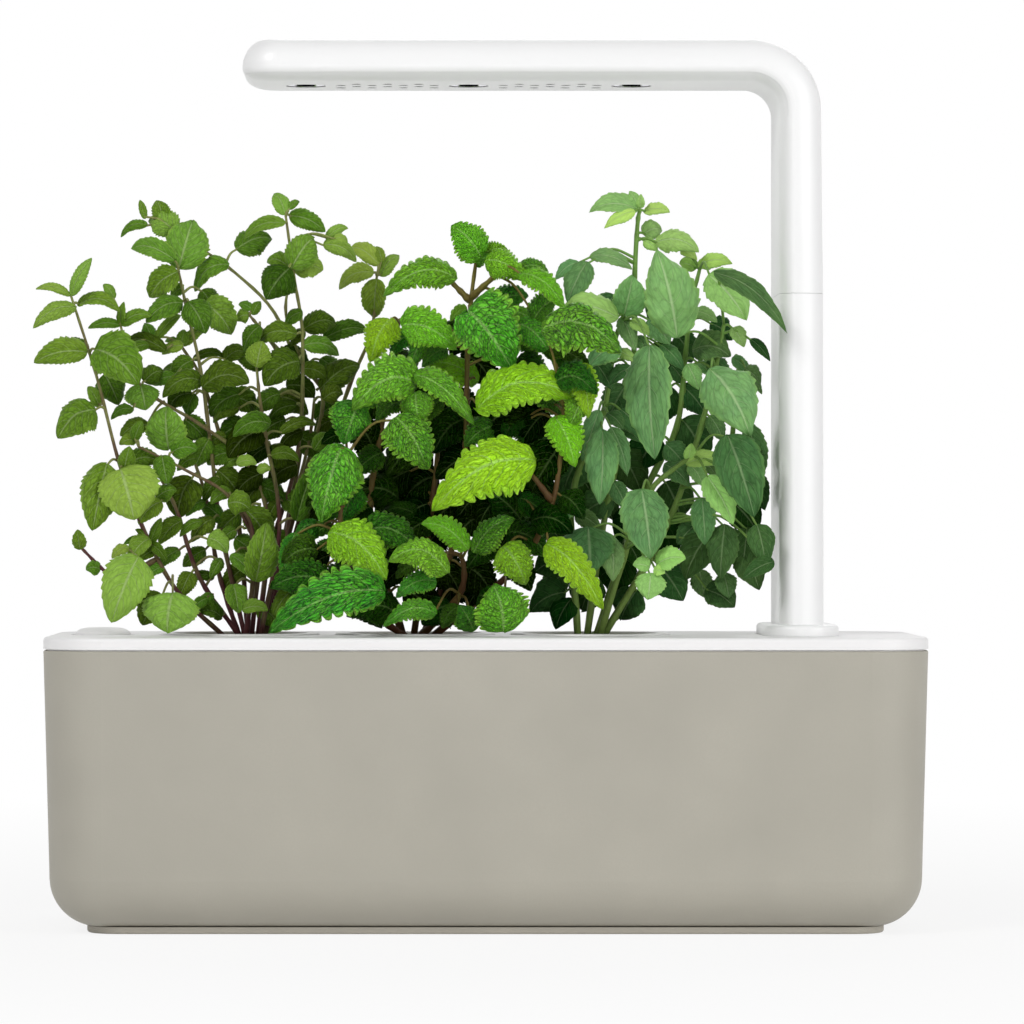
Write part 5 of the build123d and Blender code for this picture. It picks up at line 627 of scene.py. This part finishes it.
RIGHT_LEAVES = [
    (54, 251.5, 37, 251, 7.5, -2, .6), (53, 251, 42, 245, 4.5, -6, .9), (56, 251, 65, 251, 4.5, 0, .9),
    (55, 252, 55, 257, 3, -2, .7), (56, 243, 63, 245, 6.5, 2, .65), (60, 240, 75, 237, 8.5, -4, .7),
    (36, 233, 29, 218.5, 9, -8, .35), (33, 233, 25, 227, 5, -6, .45), (37, 235, 52, 230.5, 5.5, -4, .5),
    (49, 214, 52, 228, 10.5, -6, .6), (47, 213, 25, 214, 10, -12, .75), (67, 206, 60, 236, 17, -20, .6),
    (78, 228, 91, 212, 13, -18, .7), (75, 232, 87, 233, 5.5, 0, 1.0), (75, 231, 69, 233, 5, 4, .9),
    (79, 228, 104, 208, 6.5, -36, .24), (74, 216, 82, 212, 4.5, -2, .55), (87, 210, 91, 203, 5, -8, .6),
    (93, 206, 100, 198, 3.5, -10, .15), (88, 200, 95, 194, 4.5, 12, .5), (94, 194, 99, 187, 3, 12, .45),
    (73, 202, 86, 200, 12, -6, .25), (62, 204, 70, 195, 5.5, -4, .3), (51, 212, 58, 207, 4.5, -8, .75),
    (47, 202, 53, 198, 4, -4, .8), (57, 203, 58, 164, 15, -30, .38), (78, 195, 92, 172, 18, -26, .45),
    (84, 172, 93, 144, 15, -30, .26), (41, 174, 40, 148, 10.5, -22, .5), (44, 175, 50, 158, 6.5, -16, .35),
    (40, 181, 34, 163, 6, -14, .5), (36, 140, 37, 124, 18, -16, .35), (44, 137, 45, 121, 8, -12, .45),
    (54, 153, 57, 129, 15, -34, .3), (77, 158, 86, 141, 9.5, -26, .75), (70, 162, 84, 162, 5.5, -18, .85),
    (71, 163, 72, 169, 4, -18, .85), (59, 127, 69, 129, 8.5, -36, .8), (57, 126, 51, 127, 5, -36, .7),
    (58, 125, 62, 124, 4, -38, .95), (57, 124, 56, 115, 9.5, -38, .75), (46, 150, 34, 143, 11, 4, .2),
    (30, 148, 25, 142, 6, -6, .4), (29, 117, 16, 110, 11, 4, .1), (31, 115, 25, 104, 8.5, 0, .05),
    (30, 124, 21, 116, 9, 8, .15), (76, 150, 77, 134, 8, -14, .3), (84, 141, 82, 122, 10, -14, .2),
    (80, 138, 70, 122, 12, -6, .15), (75, 141, 68, 134, 7, -2, .25), (94, 141, 97, 127, 8.5, -32, .16),
    (100, 128, 89, 122, 5.5, -34, .1), (92, 140, 90, 124, 8, -10, .2), (84, 124, 86, 115, 7, -4, .3),
    (76, 125, 78, 115, 7, 4, .3), (93, 177, 99.5, 158, 7, 14, .4), (60, 205, 66, 192, 12, 8, .15),
    (66, 190, 60, 176, 12, 10, .12), (70, 178, 78, 164, 13, 8, .1), (62, 172, 54, 160, 12, 6, .15),
    (50, 190, 44, 178, 11, 4, .2), (48, 166, 56, 152, 12, 6, .12), (34, 166, 28, 152, 12, 2, .2),
    (38, 156, 46, 142, 12, 8, .12), (64, 156, 70, 142, 13, 4, .1), (56, 146, 48, 132, 13, 8, .1),
    (66, 144, 60, 128, 13, 4, .1), (72, 138, 82, 130, 12, 6, .12), (50, 130, 44, 116, 13, 6, .1),
    (62, 126, 70, 114, 12, 0, .12), (82, 134, 92, 130, 11, 2, .12), (88, 148, 96, 138, 11, -4, .14),
    (90, 132, 96, 118, 10, -12, .12), (70, 126, 62, 116, 11, 8, .1), (78, 118, 88, 112, 10, -2, .15),
    (54, 118, 48, 107, 11, 2, .12), (40, 122, 34, 110, 12, 6, .12), (28, 128, 18, 124, 9, 6, .12),
    (36, 150, 24, 146, 10, 8, .15), (86, 186, 94, 178, 10, 6, .2), (90, 168, 98, 160, 8, 4, .25),
    (80, 212, 88, 206, 8, 6, .2), (64, 222, 58, 212, 9, 8, .3), (46, 222, 40, 212, 8, 4, .3),
    (68, 208, 74, 198, 9, 8, .2), (92, 196, 98, 190, 6, 6, .4), (88, 158, 98, 152, 8, 8, .25),
    (48, 203, 36, 196, 9, -10, .5), (52, 196, 44, 190, 6, -8, .2), (58, 213, 65, 204, 8, -6, .35),
    (64, 169, 71, 161, 8, 0, .3), (71, 197, 75, 188, 6, -10, .6), (72, 162, 77, 154, 6, -8, .5),
    (79, 179, 84, 170, 6, -6, .3), (50, 135, 55, 126, 7, 0, .1), (70, 190, 79, 179, 9, 6, .2),
    (48, 214, 53, 202, 6, -4, .4), (48, 181, 56, 171, 8, -6, .25), (38, 199, 45, 188, 7, -4, .25),
    (94, 160, 100, 146, 8, 10, .2), (63, 162, 72, 154, 7, -6, .3), (32, 145, 41, 139, 6, -4, .25),
    (45, 156, 50, 146, 6, -8, .3), (79, 200, 86, 190, 7, -2, .3), (53, 207, 58, 201, 4.5, -2, .4),
    (56, 241, 61, 237, 4, -2, .85), (66, 197, 71, 190, 5.5, 4, .2), (43, 180, 49, 174, 5, -8, .25),
    (54, 253, 51, 258, 3.5, -2, .65), (69, 237, 75, 234, 3.5, 0, .8), (75, 198, 80, 193, 4, 0, .5),
    (77, 163, 82, 157, 4.5, 0, .25), (48, 174, 55, 170, 4.5, -2, .2), (18, 176, 25, 166, 8, 2, .15),
    (22, 141, 29, 132, 7, 4, .15), (33, 159, 39, 150, 8, 6, .12),
]


# How each herb shapes its leaves: counts of teeth, veins and mesh columns, the outline's powers at
# its base and tip, and the rest as shares of a leaf's width or length
MINT = SimpleNamespace(
    teeth=10, depth=0.07, crenate=False, base_power=0.50, tip_power=0.72, veins=6.0, slant=0.38,
    quilt=0.065, crinkle=0.10, fold=0.36, droop=0.46, arch=0.12, sag=0.08, bend=0.14, columns=12)
BALM = SimpleNamespace(
    teeth=11, depth=0.15, crenate=True, base_power=0.44, tip_power=0.78, veins=7.0, slant=0.34,
    quilt=0.10, crinkle=0.16, fold=0.32, droop=0.48, arch=0.14, sag=0.13, bend=0.05, columns=16)
BASIL = SimpleNamespace(
    teeth=8, depth=0.07, crenate=False, base_power=0.58, tip_power=0.86, veins=5.0, slant=0.42,
    quilt=0.045, crinkle=0.12, fold=0.28, droop=0.32, arch=0.10, sag=0.05, bend=0.10, columns=12)


def skin_faces(rows, columns):
    """Faces of a blade's closed skin: its top, its underside and the walls along its edges."""
    line = columns + 1
    size = (rows + 1) * line
    faces = []
    for i in range(rows):
        for a in range(i * line, i * line + columns):
            faces.append((a, a + 1, a + line + 1, a + line))
            faces.append((size + a, size + a + line, size + a + line + 1, size + a + 1))
        left, right = i * line, i * line + columns
        faces.append((left, left + line, size + left + line, size + left))
        faces.append((right, size + right, size + right + line, right + line))
    return faces


def leaf(mass, base, tip, width, habit, tone, rng):
    """One blade: toothed outline, sunken veins with bulges between, folded, arched, sagging and
    crinkled, with a real thickness and a paler underside."""
    spine = tip - base
    length = np.linalg.norm(spine)
    along = spine / length
    facing = np.array((rng.uniform(-0.25, 0.25), -1.0, 0.35 + rng.uniform(-0.2, 0.3)))
    normal = unit(facing - along * facing.dot(along))
    large = length > SMALL_LEAF
    teeth, columns = (habit.teeth, habit.columns) if large else (SMALL_TEETH, SMALL_COLUMNS)
    rows = teeth * TOOTH_ROWS
    u = np.linspace(0.0, 1.0, rows + 1)[:, None]
    v = np.linspace(-1.0, 1.0, columns + 1)
    # Midrib
    level = abs(along[0])
    sag = length * habit.sag * rng.uniform(0.5, 1.3) * level
    curl = length * rng.uniform(0.02, 0.12)
    bend = length * habit.bend * rng.uniform(0.3, 1.4) * level
    arch = length * habit.arch * rng.uniform(0.5, 1.4)
    rise = sag * 4 * u * (1 - u) + bend * (u - u ** 4)
    line = base + spine * u + normal * (arch * np.sin(math.pi * u) - curl * u ** 4)
    line[:, 2:] += rise
    tangent = unit(np.gradient(line, axis=0))
    across = unit(np.cross(normal, tangent))
    facing = np.cross(tangent, across)
    # Outline
    body = u ** habit.base_power * (1 - u) ** habit.tip_power
    body = body / body.max()
    cycle = u * teeth % 1.0
    bite = np.array([rng.uniform(0.4, 1.4) for _ in range(teeth + 1)])[np.floor(u * teeth).astype(int)]
    tooth = np.sqrt(1 - (2 * cycle - 1) ** 2) - 0.6 if habit.crenate else 0.9 * cycle - 0.5
    skew = rng.uniform(0.9, 1.1)
    side = np.abs(v)
    jag = habit.depth * bite * tooth * side ** 5 * (1.0 if tone < 0.2 else 2.0)
    half = HALF_WIDTH * width * body * np.where(v > 0, skew, 2 - skew) * (1 + jag)
    # Relief
    phase = (u - habit.slant * side ** VEIN_CURVE) * habit.veins
    saw = np.abs(phase % 1.0 - 0.5) * 2
    bulge = (1 - saw ** 2) * np.sin(np.pi * side) ** 0.7 * body
    seed = rng.uniform(0, 100)
    rough = np.array([[noise.noise(Vector((a * length * 0.16, b * width * 0.1, seed)))
                       + 0.35 * noise.noise(Vector((a * length * 0.5, b * width * 0.3, seed)))
                       for b in v] for a in u[:, 0]])
    wave = rng.uniform(0, 2 * math.pi)
    lobes = rng.uniform(1.8, 3.2)
    ripple = np.sin(2 * math.pi * lobes * u + wave + (v > 0) * 1.7)
    droop = habit.droop * rng.uniform(0.5, 1.3) - 0.05 * ripple
    lift = width * ((habit.fold * side - droop * side ** 2) * body
                    + habit.quilt * bulge + habit.crinkle * rough * (0.3 + side))
    # Skin
    top = line[:, None] + across[:, None] * (v * half)[..., None] + facing[:, None] * lift[..., None]
    bottom = top - facing[:, None] * LEAF_SKIN
    points = np.vstack([top.reshape(-1, 3), bottom.reshape(-1, 3)])
    uv = grid(u, (v + 1) / 2)
    tone = min(1.0, max(0.0, tone + rng.uniform(-0.06, 0.06)))
    under = np.repeat((0.0, 1.0), len(uv))
    mass.add(points, skin_faces(rows, columns), np.vstack([uv, uv]), tone, rng.random(), under)


def stem_touch(routes, spot):
    """Point of the stems that is nearest to a spot."""
    touches = []
    for route in routes:
        for low, high in zip(route, route[1:]):
            low, run = np.array(low, float), np.array(high, float) - np.array(low, float)
            share = min(1.0, max(0.0, (spot - low).dot(run) / run.dot(run)))
            touches.append(low + run * share)
    return min(touches, key=lambda touch: np.linalg.norm(spot - touch))


def grow(number, stems, leaves, depth, habit, radius, woody_top, stem_look, leaf_look):
    """Stems, stalks and leaves of one plant; depth keeps its points in the plant's own zone."""
    rng = random.Random(40 + number)
    stem_mass, leaf_mass = Mass(), Mass()

    def greenness(curve):
        return np.clip((curve[:, 2] - POD_TOP) / (woody_top - POD_TOP), 0, 1)

    for route in stems:
        curve = smooth_route(route)
        shares = np.linspace(0, 1, len(curve))
        knots = 1 + KNOT_SWELL * np.exp(-(shares * KNOTS % 1 - 0.5) ** 2 * 60)
        tube(stem_mass, curve, radius * (1 - 0.5 * shares) * knots, greenness(curve), square=0.06)
    for base_x, base_z, tip_x, tip_z, width, y, tone in leaves:
        lean = (LEAF_LEAN if y > 0 else -LEAF_LEAN) * math.hypot(tip_x - base_x, tip_z - base_z)
        base = np.array((base_x, depth(base_x, width / 2, y), base_z), float)
        tip = np.array((tip_x, depth(tip_x, width / 2, base[1] + lean), tip_z), float)
        leaf(leaf_mass, base, tip, width, habit, tone, rng)
        touch = stem_touch(stems, base)
        gap = np.linalg.norm(base - touch)
        if gap > STALK_REACH:
            lift = np.array((0, 0, STALK_RISE * gap))
            curve = smooth_route([touch, (touch + base) / 2 + lift, base + unit(tip - base)], 5)
            radii = np.linspace(*STALK_RADII, len(curve))
            tube(stem_mass, curve, radii, 0.6 + 0.4 * greenness(curve), sides=6)
    body = f"cup_{number}"
    stem_mass.piece(f"stems_{number}_grown", stem_look, body, f"stems_{number}", "stem")
    leaf_mass.piece(f"leaves_{number}_grown", leaf_look, body, f"leaves_{number}", "leaf")


mint_leaf = leaf_material(
    "mint_leaf", MINT, tones=((36, 56, 5), (98, 142, 28), (166, 200, 86)), rim=(152, 188, 74),
    underside=(186, 206, 146), vein_width=0.10, vein_share=0.75, cells=1.6, relief=0.34, groove=0.32,
    dome_light=0.19, gloss=0.40, shine=0.15)
balm_leaf = leaf_material(
    "balm_leaf", BALM, tones=((2, 36, 1), (88, 192, 36), (178, 254, 40)), rim=(188, 246, 78),
    underside=(208, 250, 156), vein_width=0.12, vein_share=0.75, cells=2.4, relief=0.9, groove=0.7,
    dome_light=0.42, gloss=0.26, shine=0.32)
basil_leaf = leaf_material(
    "basil_leaf", BASIL, tones=((16, 56, 13), (118, 168, 102), (192, 236, 114)), rim=(160, 208, 112),
    underside=(196, 222, 168), vein_width=0.06, vein_share=0.8, cells=1.3, relief=0.2, groove=0.18,
    dome_light=0.12, gloss=0.40, shine=0.2)
mint_stem = stem_material("mint_stem", linear(86, 46, 48), linear(146, 158, 88))
balm_stem = stem_material("balm_stem", linear(80, 48, 30), linear(126, 120, 56))
basil_stem = stem_material("basil_stem", linear(112, 136, 66), linear(120, 162, 78))
grow(1, LEFT_STEMS, LEFT_LEAVES, left_depth, MINT, 0.85, 275, mint_stem, mint_leaf)
grow(2, MIDDLE_STEMS, MIDDLE_LEAVES, middle_depth, BALM, 1.2, 260, balm_stem, balm_leaf)
grow(3, RIGHT_STEMS, RIGHT_LEAVES, right_depth, BASIL, 1.2, 240, basil_stem, basil_leaf)


# ---- Soil, in mm

soil_look = fibrous("peat", linear(40, 28, 20), linear(96, 72, 50), 700.0, 0.0006)
CUP_X = (-86.0, -24.35, 37.3)
RINGS, AROUND = 18, 48
WALL_GAP = 0.2
# The peat's top lies below its pod's, more so at the rim, and its foot is narrower
TOP_SINK, RIM_SINK, FOOT_SHARE = 0.9, 1.2, 0.82
CRUMBS, CRUMB_REACH = 150, 0.93
CRUMB_AXES = ((1, 0, 0), (0, 1, 0), (-1, 0, 0), (0, -1, 0), (0, 0, 1), (0, 0, -1))
CRUMB_FACES = ((0, 1, 4), (1, 2, 4), (2, 3, 4), (3, 0, 4), (1, 0, 5), (2, 1, 5), (3, 2, 5), (0, 3, 5))


def ring(centre, reach):
    """Points (x, y) of a circle round a pod's axis."""
    angles = [2 * math.pi * k / AROUND for k in range(AROUND)]
    return [(centre + reach * math.cos(angle), reach * math.sin(angle)) for angle in angles]


def soil(number, centre):
    """Peat in a pod: a rough top with crumbs and the plain plug below it."""
    rng = random.Random(70 + number)
    low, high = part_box(f"soil_plug_{number}")
    mouth = (high.x - low.x) / 2 / MM - WALL_GAP
    floor_z, top_z = low.z / MM + WALL_GAP, high.z / MM
    mass = Mass()
    shares = np.linspace(0, 1, RINGS + 1).tolist()
    points = []
    for share in shares:
        for x, y in ring(centre, mouth * share):
            rise = (1.1 * noise.noise(Vector((x * 0.35, y * 0.35, number)))
                    + 0.5 * noise.noise(Vector((x, y, 5))))
            points.append((x, y, top_z - TOP_SINK - RIM_SINK * share ** 6 + rise * (1 - share ** 8)))
    for level, reach in ((top_z - 3.0, mouth), (floor_z, mouth * FOOT_SHARE), (floor_z, 0.0)):
        points += [(x, y, level) for x, y in ring(centre, reach)]
    uv = grid(shares + [1.0] * 3, np.arange(AROUND) / AROUND)
    faces = []
    for i in range(RINGS + 3):
        for k in range(AROUND):
            a, b = i * AROUND + k, i * AROUND + (k + 1) % AROUND
            faces.append((a, a + AROUND, b + AROUND, b))
    mass.add(np.array(points), faces, uv, 0.5)
    for _ in range(CRUMBS):
        reach, angle = mouth * CRUMB_REACH * math.sqrt(rng.random()), rng.uniform(0, 2 * math.pi)
        size = rng.uniform(0.4, 1.1)
        spot = np.array((centre + reach * math.cos(angle), reach * math.sin(angle), top_z - 0.6))
        corners = [spot + np.array(axis) * size * rng.uniform(0.6, 1.2) for axis in CRUMB_AXES]
        mass.add(np.array(corners), CRUMB_FACES, np.zeros((6, 2)), 0.5)
    mass.piece(f"peat_{number}", soil_look, f"cup_{number}", f"soil_plug_{number}", "soil")


for number, cup_x in enumerate(CUP_X, 1):
    soil(number, cup_x)


# ---- Floor, light and camera

FLOOR_REACH = 30.0
# The world is full white where it is seen, and this strong as a light
WORLD_LEVEL = 0.34
PLAIN_WHITE = (1.0, 1.0, 1.0, 1.0)


def floor_material():
    """White floor that keeps the object's shadow and fades into the white background."""
    shader = Shader("floor_white", Roughness=0.9)
    cloud = shader.times(shader.noise(6.0), 0.02)
    shader.feed("Base Color", shader.mix(cloud, linear(250, 250, 250), linear(240, 240, 240)))
    glow = shader.node("Emission", {"Color": PLAIN_WHITE, "Strength": 1.0})
    # Part of the lit floor shows near the object and none of it from 0.9 m on
    distance = shader.node("VectorMath", {0: shader.place}, operation="LENGTH").outputs["Value"]
    fade = shader.span(distance, 0.2, 0.9, 0.84, 1.0)
    inputs = {0: shader.times(shader.seen(), fade), 1: shader.surface.outputs[0], 2: glow.outputs[0]}
    mixed = shader.node("MixShader", inputs).outputs[0]
    shader.tree.links.new(mixed, shader.tree.nodes["Material Output"].inputs["Surface"])
    return shader.material


mesh = bpy.data.meshes.new("floor")
corners = [(-FLOOR_REACH, -FLOOR_REACH, 0), (FLOOR_REACH, -FLOOR_REACH, 0),
           (FLOOR_REACH, FLOOR_REACH, 0), (-FLOOR_REACH, FLOOR_REACH, 0)]
mesh.from_pydata(corners, [], [(0, 1, 2, 3)])
mesh.materials.append(floor_material())
floor = put("floor", mesh)

scene = bpy.context.scene
world = bpy.data.worlds.new("studio")
world.use_nodes = True
scene.world = world
sky = Nodes(world.node_tree)
background = sky.tree.nodes["Background"]
background.inputs["Color"].default_value = PLAIN_WHITE
level = sky.span(sky.seen(), 0.0, 1.0, WORLD_LEVEL, 1.0)
sky.tree.links.new(level, background.inputs["Strength"])


def area_light(name, place, target, size, power):
    """Soft square light at a place, aimed at a target."""
    light = bpy.data.lights.new(name, "AREA")
    light.shape = "SQUARE"
    light.size = size
    light.energy = power
    lamp = put(name, light)
    lamp.location = place
    lamp.rotation_euler = (Vector(target) - Vector(place)).to_track_quat("-Z", "Y").to_euler()


TARGET = (0.0, 0.0, 0.16)
LOW_TARGET = (0.0, 0.0, 0.04)
area_light("key_light", (-0.9, -1.3, 1.3), TARGET, 0.6, 11.8)
area_light("fill_light", (1.3, -1.2, 0.5), TARGET, 1.2, 11.8)
area_light("low_light", (-0.2, -2.1, 0.12), LOW_TARGET, 0.9, 4.0)
area_light("rear_light", (0.3, 1.4, 1.2), TARGET, 1.0, 4.0)

# The photo's camera, solved from the outlines of the tank, tray and lamp
camera_data = bpy.data.cameras.new("camera")
camera_data.sensor_width = 36.0
camera_data.lens = 195.9
camera_data.shift_x = 0.0996
camera_data.shift_y = 0.0117
camera_data.clip_end = 60.0
camera = put("camera", camera_data)
camera.location = (-0.0261, -1.9625, 0.141)
camera.rotation_euler = (math.radians(90), 0.0, 0.0)
scene.camera = camera
scene.view_settings.view_transform = "Standard"
